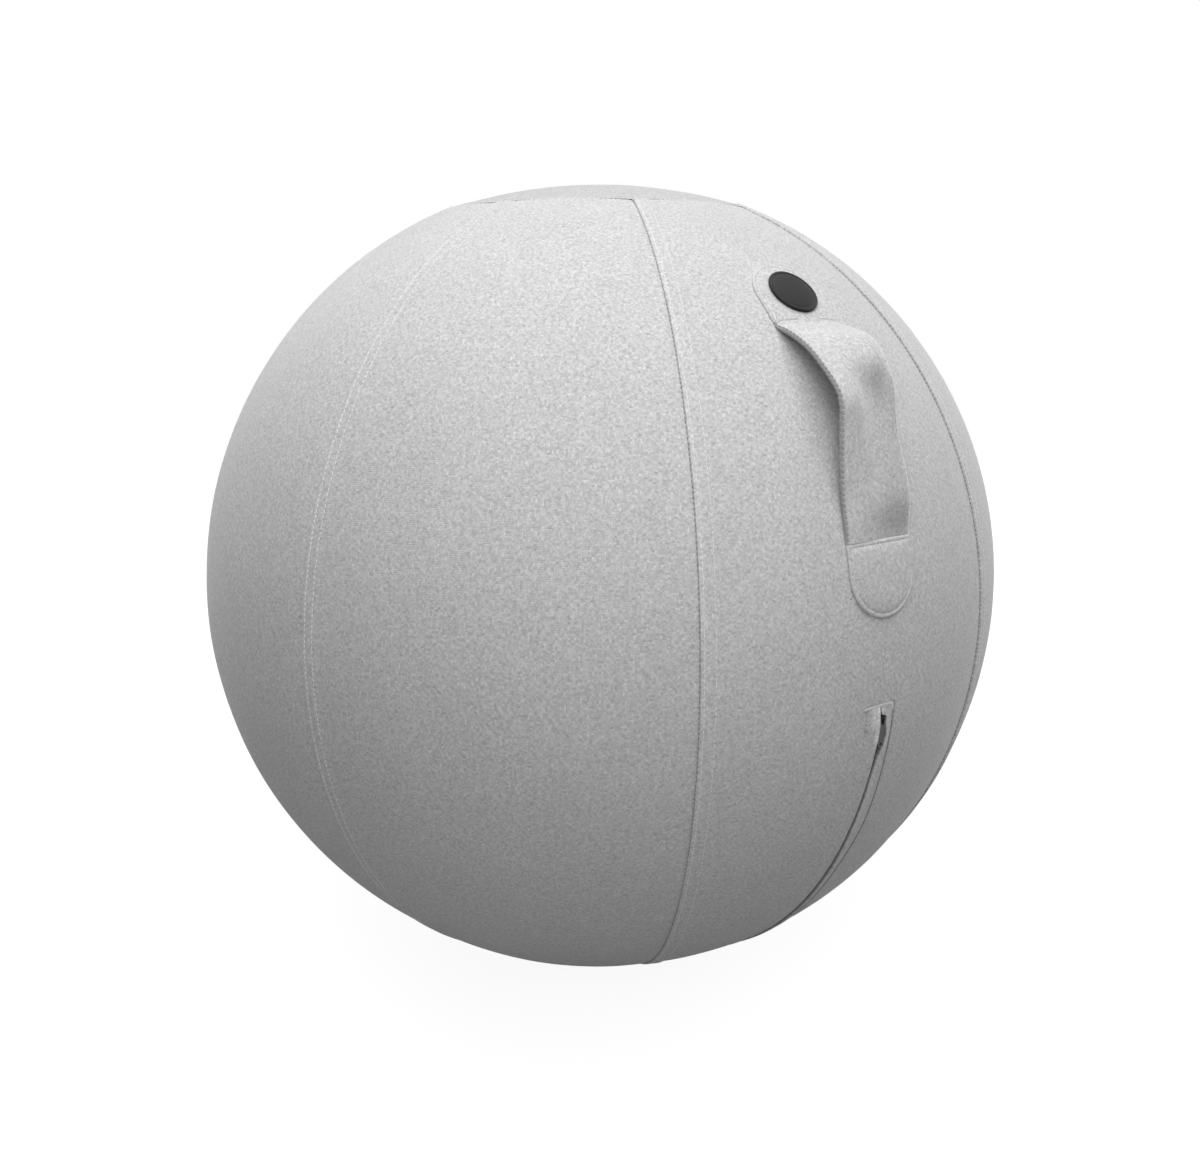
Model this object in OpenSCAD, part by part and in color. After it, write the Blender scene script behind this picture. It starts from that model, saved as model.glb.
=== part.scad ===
// Sitting ball: an air-filled inner ball in a sewn cover of eight upright panels, with a cap
// above, a patch below, a carry strap and a zip.
// The origin is on the floor under the ball's centre and +Z is up. The strap and the zip are
// on the -Y side. A place on the ball is given by its latitude, in degrees above the middle.

/* [Ball] */
// Diameter across the middles of two opposite panels
ball_d = 650; // [620:5:700]
// How far a panel's sideways arc is centred in front of the ball's centre
panel_belly = 25; // [15:1:30]
// Thickness of the cover's cloth
cover_t = 2.0; // [1.8:0.05:2.2]
// Width of the seam allowance turned in along each panel's left edge
allowance_w = 10; // [6:1:14]
// Thickness of the turned-in allowance
allowance_t = 1.0; // [0.8:0.1:1.2]
// Gap left between sewn edges
seam_gap = 0.1; // [0.06:0.02:0.2]
// Gap left between layers that lie on each other
seat_gap = 0.1; // [0.08:0.01:0.12]
// Clearance between parts that move past each other
move_gap = 0.3; // [0.25:0.05:0.4]

/* [Cap and bottom patch] */
// Width of the cap across two opposite edges
cap_w = 248; // [220:1:270]
// Radius that the cap's edges are curved to
cap_edge_r = 185; // [165:1:240]
// How far the middle of the cap lies under the full round
cap_drop = 5.2; // [4.0:0.1:7.0]
// How far the cap's seam is drawn in
cap_step = 0.6; // [0.4:0.1:1.0]
// Width of the hem that runs under the panels' ends
hem_w = 8; // [6:1:12]
// How deep the floor presses into the bottom patch
floor_press = 2.8; // [2.0:0.1:3.6]

/* [Inner ball] */
// Thickness of the inner ball's wall
bladder_t = 1.0; // [0.8:0.1:1.4]
// Gap between the inner ball and the cover's seams
bladder_gap = 0.3; // [0.2:0.05:0.5]
// Latitude of the valve
valve_lat = -36; // [-45:1:-25]
// Sideways angle of the valve from the zip
valve_lon = 12; // [10:1:14]
// Radius of the valve seat's neck
valve_neck_r = 8; // [7:0.5:9]
// Radius of the valve seat's flange
valve_flange_r = 17; // [14:0.5:20]
// Thickness of the valve seat's flange
valve_flange_t = 2.2; // [1.8:0.1:3]
// Radius of the air hole
air_hole_r = 4.2; // [3.6:0.1:5]
// Length of the valve plug's shank
plug_l = 15; // [10:0.5:20]

/* [Carry strap] */
// Width of the strap
strap_w = 54; // [44:1:64]
// Thickness of the strap, sleeve and webbing together
strap_t = 3.2; // [2.8:0.1:3.6]
// Thickness of one layer of the strap's sleeve
sleeve_t = 0.9; // [0.7:0.05:1.0]
// Width of the turned side edges of the sleeve
sleeve_edge = 2; // [1.5:0.25:3]
// Latitude of the centre of the strap's round upper end
strap_top_lat = 46.2; // [45.8:0.1:49]
// Latitude of the centre of the round tab at its lower end
strap_foot_lat = 12.7; // [10:0.1:13.4]
// Latitude of the top of the arch
arch_lat = 32.2; // [31.5:0.1:33]
// Height of the arch's outer face over the ball
arch_rise = 22.5; // [20:0.5:25]
// Radius of the arch's crown
arch_r = 74; // [66:1:80]
// Radius of the upper bend, where the strap leaves the ball
upper_bend_r = 8; // [6:1:16]
// Radius of the lower bend, where the strap comes back to it
lower_bend_r = 200; // [160:5:220]
// Thickness of the backing cloth inside the cover
backing_t = 0.8; // [0.6:0.1:0.9]
// Diameter of the badge
badge_d = 37; // [30:1:44]
// Height of the badge's edge
badge_edge_t = 1.4; // [1:0.1:2]
// Height of the badge's dome over its edge
badge_dome_t = 1.0; // [0.6:0.1:1.6]

/* [Zip] */
// Distance from the ball's middle height down to the top of the zip
zip_top_drop = 11; // [6:1:20]
// Distance from the bottom of the zip to the bottom patch
zip_end_gap = 18; // [14:1:40]
// Width of one zip tape
tape_w = 13; // [10:0.5:15]
// Thickness of the zip tapes
tape_t = 0.5; // [0.4:0.05:0.55]
// Half the width of the closed chain
chain_half = 3.2; // [3.0:0.05:3.3]
// Thickness of the chain
chain_t = 1.7; // [1.6:0.05:1.75]
// Depth of the middle of the chain under the cover's face
chain_d = 1.8; // [1.75:0.05:1.9]
// Distance from one tooth to the next on the same side
tooth_pitch = 3.0; // [2.9:0.1:4]
// Radius of a tooth's round head
tooth_head_r = 0.7; // [0.6:0.02:0.72]
// Width of a tooth's neck
tooth_neck = 0.9; // [0.7:0.05:1]
// Width of the bead that carries the teeth
bead_w = 0.8; // [0.6:0.05:1]
// Width of the slit between the two lips
slit_w = 3.0; // [2.8:0.1:4]
// Width of one lip
lip_w = 10; // [8:0.5:12]
// Thickness of the lips
lip_t = 1.2; // [1:0.05:1.3]

/* [Slider and pull] */
// Length of the slider
slider_l = 11; // [10:0.5:13]
// Thickness of the slider's plates
plate_t = 0.55; // [0.45:0.05:0.6]
// Width of the walls at the slider's sides
wing_wall = 0.6; // [0.5:0.05:0.8]
// Extra half width of the slider at its mouth
mouth_flare = 0.5; // [0.3:0.1:0.7]
// Width of the bridge that holds the pull
bridge_w = 1.6; // [1.4:0.1:1.8]
// Length of the bridge
bridge_l = 5.2; // [4.8:0.1:5.6]
// Thickness of the bridge's legs and bar
bridge_t = 0.95; // [0.8:0.05:1.05]
// Length of the pull from its eye to its tip
pull_l = 20; // [14:1:28]
// Width of the pull
pull_w = 4.8; // [4.4:0.1:6]
// Thickness of the pull
pull_t = 1.0; // [0.8:0.05:1.1]

/* [Hidden] */
cloth = "#b9b7b4";
cloth_inside = "#8e8c8a";
strap_cloth = "#aeaca9";
black = "#18181a";
tape_grey = "#6c6b6a";
metal = "#8b8c8e";
vinyl = "#9aa0a6";

PANELS = ["panel_front", "panel_front_right", "panel_right", "panel_back_right",
          "panel_back", "panel_back_left", "panel_left", "panel_front_left"];

$fn = 96;
ball_r = ball_d / 2;
arc_r = ball_r - panel_belly;
panel_a = 360 / len(PANELS);
// Reach of the shapes that cut the panels out, and the latitude that they are cut from
out_r = 1.2 * ball_r;
cut_lat = 80;

// Radius of the ball at a seam, at the depth d under the face
function seam_r(d) =
  (arc_r - d) * sin(panel_a / 2 + asin(panel_belly * sin(panel_a / 2) / (arc_r - d)))
  / sin(panel_a / 2);
// Angle that a length along the ball's face spans
function span(l) = l / ball_r * 180 / PI;

// Cap: a dome flatter than the ball, whose edge lies cap_step under the round
cap_top = ball_r - cap_drop;
cap_edge_z = sqrt(pow(ball_r, 2) - pow(cap_w / 2, 2)) - cap_step;
dome_r = (pow(cap_w / 2, 2) + pow(cap_top - cap_edge_z, 2)) / (2 * (cap_top - cap_edge_z));
dome_z = cap_top - dome_r;
hem_sink = 0.6;
hem_r = ball_r - cover_t - hem_sink;
hem_lap = 3;
centre_h = cap_top - floor_press;
patch_lat = -acos(cap_w / 2 / ball_r);

bladder_r = seam_r(cover_t + allowance_t) - bladder_gap;
lining_d = cover_t + seat_gap;

// Strap: its side view is three arcs that meet smoothly, a crown and two bends the other way
function point(r, lat) = r * [cos(lat), sin(lat)];
function lat_of(p) = atan2(p[1], p[0]);
function meeting(c0, r0, c1, r1, side) =
  let (v = c1 - c0, d = norm(v), a = (r0 * r0 - r1 * r1 + d * d) / (2 * d),
       h = sqrt(r0 * r0 - a * a), u = v / d)
  c0 + a * u + side * h * [-u[1], u[0]];
strap_seat_r = ball_r + seat_gap;
arch_c = point(ball_r + arch_rise - arch_r, arch_lat);
upper_c = meeting([0, 0], strap_seat_r + strap_t + upper_bend_r, arch_c, arch_r + upper_bend_r, 1);
lower_c = meeting([0, 0], strap_seat_r + strap_t + lower_bend_r, arch_c, arch_r + lower_bend_r, -1);
span_top_lat = lat_of(upper_c);
span_low_lat = lat_of(lower_c);
// How far the backing cloth reaches past the strap's outline
backing_over = 4;

// Zip: depths are measured inward from the cover's face, and lengths along it
zip_top_lat = -span(zip_top_drop);
zip_end_lat = patch_lat + span(zip_end_gap);
chain_play = 0.25;
wing_half = chain_half + chain_play + wing_wall;
slot_half = wing_half + mouth_flare + move_gap + seat_gap;
chain_r = ball_r - chain_d;
tape_in = chain_half + seat_gap;
plate_gap = 0.15;
top_plate_d = chain_d - chain_t / 2 - plate_gap;
low_plate_d = chain_d + chain_t / 2 + plate_gap;
stop_l = 2;
stop_inset = 0.5;
stop_clear = 1.5;
clamp_w = 1.8;
// How far the tapes and the lips run on past the ends of the slit
tape_over = 6;
lip_over = 2;
slider_lat = zip_top_lat - span(stop_l + move_gap + slider_l / 2 + stop_clear);
// The teeth start a little under the slider's middle, where its wedge ends
chain_start = 0.6;
chain_top_lat = slider_lat - span(chain_start);
chain_end_lat = zip_end_lat + span(stop_l + stop_clear);
chain_l = (chain_top_lat - chain_end_lat) * PI / 180 * chain_r;
tooth_n = floor(chain_l / tooth_pitch - 0.75);
// Room round the bridge in the pull's eye, at its sides and at its ends
eye_play = 0.35;
eye_end_play = 0.8;
bridge_top = lip_t + seat_gap + move_gap + pull_t + eye_play + bridge_t;
pivot_z = lip_t + seat_gap + move_gap + pull_t / 2;
eye_half = bridge_w / 2 + eye_play;
eye_l = sqrt(pow(bridge_l / 2, 2) + pow(bridge_top - pivot_z, 2)) + eye_end_play;

// Carries a shape modelled about the ball's centre up to its height over the floor
module at_centre() translate([0, 0, centre_h]) children();

// Sets a shape on the ball's face: X runs sideways, Y up along the face and Z outward
module on_ball(lat, lon = 0)
  rotate([0, 0, lon]) rotate([90 - lat, 0, 0]) translate([0, 0, ball_r]) children();

// Layer of the front panel's round, from depth d0 to d1, from x0 to x1 and from lat0 up to lat1
module layer(d0, d1, x0, x1, lat0, lat1)
  rotate([0, 90, 0])
    rotate_extrude(start = 270 - lat1, angle = lat1 - lat0, $fn = 360)
      layer_section(d0, d1, x0, x1);

module layer_section(d0, d1, x0, x1)
  intersection() {
    translate([panel_belly, 0]) difference() {
      circle(r = arc_r - d0, $fn = 360);
      circle(r = arc_r - d1, $fn = 360);
    }
    translate([ball_r / 2, x0]) square([ball_r, x1 - x0]);
  }

// Outline of the cap: one long arc over each panel, meeting at the seams
module cap_outline(grow)
  intersection_for (i = [0 : len(PANELS) - 1])
    rotate(i * panel_a)
      translate([0, cap_edge_r - cap_w / 2]) circle(r = cap_edge_r + grow, $fn = 180);

module cap_column(grow) linear_extrude(2 * ball_r, center = true) cap_outline(grow);

// Upright sector between a panel's two seams
module sector()
  translate([0, -seam_gap / 2 / sin(panel_a / 2)])
    linear_extrude(2 * ball_r, center = true)
      polygon([[0, 0],
               [-out_r * tan(panel_a / 2), -out_r],
               [out_r * tan(panel_a / 2), -out_r]]);

// Strip along the left seam, as wide as the allowance
module left_strip()
  rotate([0, 0, -panel_a / 2])
    translate([0, -out_r, -ball_r]) cube([allowance_w, out_r, 2 * ball_r]);

module panel_shape() {
  reach = out_r * tan(panel_a / 2);
  difference() {
    intersection() {
      layer(0, cover_t, -reach, reach, -cut_lat, cut_lat);
      sector();
    }
    cap_column(seam_gap / 2);
  }
  difference() {
    intersection() {
      layer(cover_t / 2, cover_t + allowance_t, -reach, reach, -cut_lat, cut_lat);
      sector();
      left_strip();
    }
    cap_column(hem_w + 1);
  }
}

module panel(i) color(cloth) at_centre() rotate([0, 0, i * panel_a]) panel_shape();

module panel_front() color(cloth) at_centre() difference() {
  panel_shape();
  layer(-1, cover_t + 1, -slot_half, slot_half, zip_end_lat, zip_top_lat);
}

// Turned hem round a cap: it lies under the ends of the panels
module cap_hem() {
  intersection() {
    difference() {
      sphere(r = hem_r, $fn = 240);
      sphere(r = hem_r - allowance_t, $fn = 240);
    }
    linear_extrude(ball_r) difference() {
      cap_outline(hem_w);
      cap_outline(-hem_lap);
    }
  }
}

module cap_dome(t) translate([0, 0, dome_z]) sphere(r = dome_r - t, $fn = 240);

module cap_fold()
  intersection() {
    difference() {
      cap_dome(0);
      sphere(r = hem_r - allowance_t, $fn = 240);
    }
    linear_extrude(ball_r) difference() {
      cap_outline(-seam_gap / 2);
      cap_outline(-hem_lap);
    }
  }

module top_cap() color(cloth) at_centre() {
  intersection() {
    difference() {
      cap_dome(0);
      cap_dome(cover_t);
    }
    linear_extrude(ball_r) cap_outline(-seam_gap / 2);
  }
  cap_fold();
  cap_hem();
}

module above(z) translate([-ball_r, -ball_r, z]) cube(2 * ball_r);

module bottom_patch() color(cloth) {
  intersection() {
    at_centre() mirror([0, 0, 1]) difference() {
      cap_dome(0);
      intersection() {
        cap_dome(cover_t);
        mirror([0, 0, 1]) above(cover_t - centre_h);
      }
    }
    at_centre() mirror([0, 0, 1]) linear_extrude(ball_r) cap_outline(-seam_gap / 2);
    above(0);
  }
  at_centre() mirror([0, 0, 1]) {
    cap_fold();
    cap_hem();
  }
}

// Section of the inner ball, t under its outer face: a round with a flatter top and foot
module bladder_section(t)
  intersection() {
    circle(r = bladder_r - t, $fn = 360);
    translate([0, dome_z]) circle(r = dome_r - cover_t - bladder_gap - t, $fn = 360);
    translate([0, -dome_z]) circle(r = dome_r - cover_t - bladder_gap - t, $fn = 360);
    translate([0, cover_t + bladder_gap + t - centre_h]) square([ball_r, 2 * ball_r]);
  }

module bladder() color(vinyl) at_centre() difference() {
  rotate_extrude($fn = 360) difference() {
    bladder_section(0);
    bladder_section(bladder_t);
  }
  on_valve() cylinder(r = valve_neck_r, h = 8 * bladder_t, center = true);
}

// Sets a shape on the inner ball's face at the valve
module on_valve()
  on_ball(valve_lat, valve_lon) translate([0, 0, bladder_r - ball_r]) children();

// The valve's heights are measured from the inner ball's face
valve_face = -seat_gap;
flange_top = -bladder_t - pow(valve_flange_r, 2) / (2 * bladder_r) - seat_gap;
neck_wall = 1.6;
plug_head_r = valve_neck_r - neck_wall;
plug_head_t = 1.2;

module valve_seat() color(vinyl) at_centre() on_valve() difference() {
  union() {
    translate([0, 0, flange_top - valve_flange_t])
      cylinder(r = valve_flange_r, h = valve_flange_t);
    translate([0, 0, flange_top - valve_flange_t / 2])
      cylinder(r = valve_neck_r - seat_gap, h = valve_face - flange_top + valve_flange_t / 2);
  }
  cylinder(r = air_hole_r, h = 4 * plug_l, center = true);
  translate([0, 0, valve_face - plug_head_t]) cylinder(r = plug_head_r + seat_gap, h = plug_l);
}

module valve_plug() color("white") at_centre() on_valve() {
  translate([0, 0, valve_face - plug_head_t + seat_gap])
    cylinder(r = plug_head_r, h = plug_head_t - seat_gap);
  translate([0, 0, valve_face - plug_l])
    cylinder(r = air_hole_r - seat_gap, h = plug_l - plug_head_t / 2);
}

// Sewn end of the strap: straight from its edge next to the free span to the latitude lat,
// and round about that place beyond it
module strap_end(lat, edge_lat) {
  far_lat = edge_lat + span(3 * strap_w) * sign(lat - edge_lat);
  intersection() {
    layer(-seat_gap - strap_t, -seat_gap, -strap_w / 2, strap_w / 2,
          min(edge_lat, far_lat), max(edge_lat, far_lat));
    union() {
      on_ball(lat) cylinder(r = strap_w / 2, h = strap_w, center = true, $fn = 180);
      side_view(2 * strap_w)
        polygon([[0, 0], point(2 * ball_r, lat), point(2 * ball_r, edge_lat)]);
    }
  }
}

// Solid w wide in X, from its side view: the view's X is forward, to -Y, and its Y is up
module side_view(w)
  rotate([0, 0, -90]) rotate([90, 0, 0]) linear_extrude(w, center = true) children();

// Part of a ring about c between the radii r0 and r1, from the direction a0 to a1
module ring_part(c, r0, r1, a0, a1)
  intersection() {
    translate(c) difference() {
      circle(r = r1, $fn = 240);
      circle(r = r0, $fn = 240);
    }
    polygon([c, c + 3 * r1 * [cos(a0), sin(a0)], c + 3 * r1 * [cos(a1), sin(a1)]]);
  }

// Side view of the free strap, from depth d0 to d1 under its outer face. The bends run a
// hair into the crown, so that the three arcs are one piece.
module arch_view(d0, d1) {
  lap = 0.2;
  up_a = lat_of(arch_c - upper_c);
  low_a = lat_of(arch_c - lower_c);
  ring_part(arch_c, arch_r - d1, arch_r - d0, up_a + 180, low_a - 180);
  ring_part(upper_c, upper_bend_r + d0, upper_bend_r + d1, span_top_lat - 180,
            up_a + lap / upper_bend_r * 180 / PI);
  ring_part(lower_c, lower_bend_r + d0, lower_bend_r + d1, span_low_lat + 180,
            low_a - lap / lower_bend_r * 180 / PI);
}

module handle_strap() color(strap_cloth) at_centre() difference() {
  side_view(strap_w) arch_view(0, strap_t);
  side_view(strap_w - 2 * sleeve_edge) arch_view(sleeve_t, strap_t - sleeve_t);
}

module handle_webbing() color(black) at_centre()
  side_view(strap_w - 2 * sleeve_edge - 2 * seat_gap)
    arch_view(sleeve_t + seat_gap, strap_t - sleeve_t - seat_gap);

module handle_upper_end() color(strap_cloth) at_centre()
  strap_end(strap_top_lat, span_top_lat + span(move_gap));

module handle_lower_tab() color(strap_cloth) at_centre()
  strap_end(strap_foot_lat, span_low_lat - span(move_gap));

module handle_backing(lat0, lat1) color(cloth_inside) at_centre()
  layer(lining_d, lining_d + backing_t, -strap_w / 2 - backing_over, strap_w / 2 + backing_over,
        lat0, lat1);

module handle_backing_upper()
  handle_backing(span_top_lat - span(backing_over), strap_top_lat + span(strap_w / 2 + backing_over));

module handle_backing_lower()
  handle_backing(strap_foot_lat - span(strap_w / 2 + backing_over), span_low_lat + span(backing_over));

// Badge: a low turned disc with a rounded rim and a faintly domed face
module badge_disc() color(black) at_centre() on_ball(strap_top_lat)
  translate([0, 0, seat_gap + strap_t + seat_gap]) rotate_extrude() {
    rim_r = badge_edge_t / 2;
    face_r = (pow(badge_d / 2 - rim_r, 2) + pow(badge_dome_t, 2)) / (2 * badge_dome_t);
    square([badge_d / 2 - rim_r, badge_edge_t]);
    translate([badge_d / 2 - rim_r, rim_r]) intersection() {
      circle(r = rim_r);
      translate([0, -rim_r]) square(2 * rim_r);
    }
    intersection() {
      translate([0, badge_edge_t + badge_dome_t - face_r]) circle(r = face_r, $fn = 180);
      translate([0, badge_edge_t / 2]) square([badge_d / 2 - rim_r, 2 * badge_edge_t]);
    }
  }

// Zip tapes: side is -1 for the left one and 1 for the right one
module tape(side) color(tape_grey) at_centre() {
  x = [tape_in, tape_in + tape_w];
  layer(lining_d, lining_d + tape_t, side < 0 ? -x[1] : x[0], side < 0 ? -x[0] : x[1],
        zip_end_lat - span(tape_over), zip_top_lat + span(tape_over));
}

module zip_tape_left() tape(-1);

module zip_tape_right() tape(1);

// One tooth, seen from outside: a neck from the bead to a round head past the middle
module tooth()
  translate([0, 0, -chain_t / 2]) linear_extrude(chain_t) {
    translate([-chain_half + bead_w / 2, -tooth_neck / 2])
      square([chain_half - bead_w / 2 + tooth_head_r / 2, tooth_neck]);
    translate([tooth_head_r / 2, 0]) circle(r = tooth_head_r, $fn = 24);
  }

// Row of teeth on its bead. The right row is the left one turned over, half a pitch lower.
module teeth_row(shift) {
  layer(chain_d - chain_t / 2, chain_d + chain_t / 2, -chain_half, bead_w - chain_half,
        zip_end_lat + span(stop_l + 2 * stop_inset), zip_top_lat - span(stop_l + 2 * stop_inset));
  for (i = [0 : tooth_n - 1])
    rotate([span((i + shift) * tooth_pitch + tooth_head_r) * ball_r / chain_r, 0, 0])
      on_ball(chain_top_lat) translate([0, 0, -chain_d]) tooth();
}

module zip_teeth_left() color(tape_grey) at_centre() teeth_row(0);

module zip_teeth_right() color(tape_grey) at_centre() mirror([1, 0, 0]) teeth_row(0.5);

// Slot that a stop or a slider leaves for the tapes
module tape_slot(gap)
  for (side = [-1, 1])
    translate([side > 0 ? tape_in - gap : -tape_in - tape_w, -stop_l, -lining_d - tape_t - gap])
      cube([tape_w + gap, 2 * stop_l, tape_t + 2 * gap]);

// Top stops: two metal clamps, one on each tape's edge, over the slider's mouth
module zip_top_stops()
  color(metal) at_centre() on_ball(zip_top_lat - span(stop_inset + stop_l / 2))
  difference() {
    for (side = [-1, 1])
      translate([side * chain_half, 0, -chain_d])
        cube([clamp_w, stop_l, chain_t], center = true);
    tape_slot(seat_gap);
  }

// Bottom stop: one clamp over both tapes' edges
module zip_bottom_stop()
  color(metal) at_centre() on_ball(zip_end_lat + span(stop_inset + stop_l / 2))
  difference() {
    translate([0, 0, -chain_d])
      cube([2 * chain_half + clamp_w, stop_l, chain_t], center = true);
    tape_slot(seat_gap);
  }

// Lip: a folded strip of cloth whose round edge borders the slit
module lip(side) color(cloth) at_centre() {
  fold_r = lip_t / 2;
  rotate([0, 90, 0])
    rotate_extrude(start = 270 - zip_top_lat - span(lip_over),
                   angle = zip_top_lat - zip_end_lat + 2 * span(lip_over), $fn = 360)
      mirror([0, side < 0 ? 1 : 0]) {
        layer_section(-seat_gap - lip_t, -seat_gap, slit_w / 2 + fold_r, slit_w / 2 + lip_w);
        translate([ball_r + seat_gap + fold_r - pow(slit_w / 2 + fold_r, 2) / (2 * arc_r),
                   slit_w / 2 + fold_r]) circle(r = fold_r, $fn = 24);
      }
}

module zip_lip_left() lip(-1);

module zip_lip_right() lip(1);

// Plan of the slider, flared at its mouth, with h as its half width at the tail. Its corners
// are cut off by tail_cut and mouth_cut.
tail_cut = 0.6;
mouth_cut = 0.8;

module wing(h, flare, l) {
  right = [[h - tail_cut, -l / 2], [h, -l / 2 + tail_cut], [h, 0], [h + flare, l / 4],
           [h + flare, l / 2 - mouth_cut], [h + flare - mouth_cut, l / 2]];
  left = [for (i = [len(right) - 1 : -1 : 0]) [-right[i][0], right[i][1]]];
  polygon(concat(right, left));
}

// Plan of the wedge that parts the teeth, from its flat top down to its tip
wedge_top_half = 0.9;
wedge_half = 1.1;
wedge_top_gap = 0.5;
wedge_tip = 0.8;

module wedge_plan()
  polygon([[-wedge_top_half, slider_l / 2 - wedge_top_gap],
           [wedge_top_half, slider_l / 2 - wedge_top_gap],
           [wedge_half, slider_l / 4], [0, wedge_tip], [-wedge_half, slider_l / 4]]);

module zip_slider() color(metal) at_centre() on_ball(slider_lat) {
  wall_gap = 0.2;
  // Two plates
  for (d = [top_plate_d, low_plate_d + plate_t])
    translate([0, 0, -d]) linear_extrude(plate_t) wing(wing_half, mouth_flare, slider_l);
  // Walls down to the tapes
  translate([0, 0, wall_gap - lining_d])
    linear_extrude(lining_d - wall_gap - top_plate_d + plate_t / 2) difference() {
      wing(wing_half, mouth_flare, slider_l);
      wing(wing_half - wing_wall, mouth_flare, slider_l + 4);
    }
  // Wedge
  translate([0, 0, -low_plate_d - plate_t / 2])
    linear_extrude(low_plate_d - top_plate_d + plate_t) wedge_plan();
  // Bridge over the middle, through which the pull's eye passes
  translate([-bridge_w / 2, 0, 0]) difference() {
    translate([0, -bridge_l / 2, -top_plate_d + plate_t / 2])
      cube([bridge_w, bridge_l, bridge_top + top_plate_d - plate_t / 2]);
    translate([-1, bridge_t - bridge_l / 2, -top_plate_d])
      cube([bridge_w + 2, bridge_l - 2 * bridge_t, bridge_top + top_plate_d - bridge_t]);
  }
}

// Pull: a flat tag that hangs on the bridge by its eye
module zip_pull() color(metal) at_centre() on_ball(slider_lat) translate([0, 0, pivot_z]) {
  bar_r = pull_t / 2;
  hole_r = 0.9;
  rotate([0, 90, 0]) cylinder(r = bar_r, h = pull_w, center = true, $fn = 24);
  translate([0, 0, -pull_t / 2]) linear_extrude(pull_t) difference() {
    union() {
      translate([-pull_w / 2, pull_w / 2 - pull_l]) square([pull_w, pull_l - pull_w / 2]);
      translate([0, pull_w / 2 - pull_l]) circle(d = pull_w, $fn = 48);
    }
    translate([-eye_half, -eye_l]) square([2 * eye_half, 2 * eye_l]);
    translate([0, pull_w / 2 - pull_l]) circle(r = hole_r, $fn = 24);
  }
}

panel_front();
panel(1);  // panel_front_right
panel(2);  // panel_right
panel(3);  // panel_back_right
panel(4);  // panel_back
panel(5);  // panel_back_left
panel(6);  // panel_left
panel(7);  // panel_front_left
top_cap();
bottom_patch();
bladder();
valve_seat();
valve_plug();
handle_upper_end();
handle_strap();
handle_webbing();
handle_lower_tab();
handle_backing_upper();
handle_backing_lower();
badge_disc();
zip_tape_left();
zip_tape_right();
zip_teeth_left();
zip_teeth_right();
zip_top_stops();
zip_bottom_stop();
zip_lip_left();
zip_lip_right();
zip_slider();
zip_pull();
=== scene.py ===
"""Dressing of the sitting ball: its cloth cover, carry strap and zip, and the parts inside.

Lengths are in metres. Shapes are made about the ball's centre and then lifted to its height.
A place on a panel is given by x, how far it lies sideways from the panel's middle, and lat,
its angle above the ball's middle height, in radians. Lift is the height over the cloth's face.
"""

import math

import bpy
import numpy as np
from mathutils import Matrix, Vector


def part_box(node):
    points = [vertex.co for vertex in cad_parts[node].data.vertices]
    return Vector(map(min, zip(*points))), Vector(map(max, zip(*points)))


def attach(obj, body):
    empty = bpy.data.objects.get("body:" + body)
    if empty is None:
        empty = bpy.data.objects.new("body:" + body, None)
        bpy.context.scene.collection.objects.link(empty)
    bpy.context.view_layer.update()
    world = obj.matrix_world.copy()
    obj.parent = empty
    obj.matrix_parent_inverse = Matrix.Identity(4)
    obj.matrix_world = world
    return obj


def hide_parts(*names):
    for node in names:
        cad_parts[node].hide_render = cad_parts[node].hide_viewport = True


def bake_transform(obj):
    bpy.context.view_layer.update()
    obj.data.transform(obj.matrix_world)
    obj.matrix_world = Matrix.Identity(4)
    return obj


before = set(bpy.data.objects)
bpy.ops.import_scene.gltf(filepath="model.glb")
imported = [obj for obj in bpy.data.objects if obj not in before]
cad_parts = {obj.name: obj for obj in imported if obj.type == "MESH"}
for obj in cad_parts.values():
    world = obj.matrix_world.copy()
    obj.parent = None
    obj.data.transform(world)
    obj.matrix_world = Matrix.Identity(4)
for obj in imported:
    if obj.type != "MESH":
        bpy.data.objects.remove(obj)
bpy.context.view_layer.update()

MM = 0.001
rng = np.random.default_rng(65)

# Ball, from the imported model's back panel and cap
back_low, back_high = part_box("panel_back")
CENTRE_Z = round((back_low.z + back_high.z) / 2, 4)
BALL_R = round(back_high.y, 4)
PANELS = ("panel_front", "panel_front_right", "panel_right", "panel_back_right",
          "panel_back", "panel_back_left", "panel_left", "panel_front_left")
HALF_ANGLE = math.pi / len(PANELS)
BELLY = 25 * MM
ARC_R = BALL_R - BELLY
# Slow unevenness of the cloth's face, calm at the seams
WAVE_MIN_L, WAVE_MAX_L = 45 * MM, 140 * MM
WAVE_COUNT = 7
WAVE_H = 0.12 * MM
CALM_W = 20 * MM

# Cap and bottom patch
CAP_HALF_W = 124 * MM
CAP_EDGE_R = 185 * MM
CAP_BACK = CAP_EDGE_R - CAP_HALF_W
CAP_STEP = 0.6 * MM
CAP_TOP = round(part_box("top_cap")[1].z, 4) - CENTRE_Z
CAP_RIM_Z = math.sqrt(BALL_R**2 - CAP_HALF_W**2) - CAP_STEP
DOME_R = (CAP_HALF_W**2 + (CAP_TOP - CAP_RIM_Z) ** 2) / (2 * (CAP_TOP - CAP_RIM_Z))
DOME_Z = CAP_TOP - DOME_R
RIM_SLOPE = math.cos(math.asin(CAP_HALF_W / DOME_R))
CAP_MIDDLE = 0.012

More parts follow.
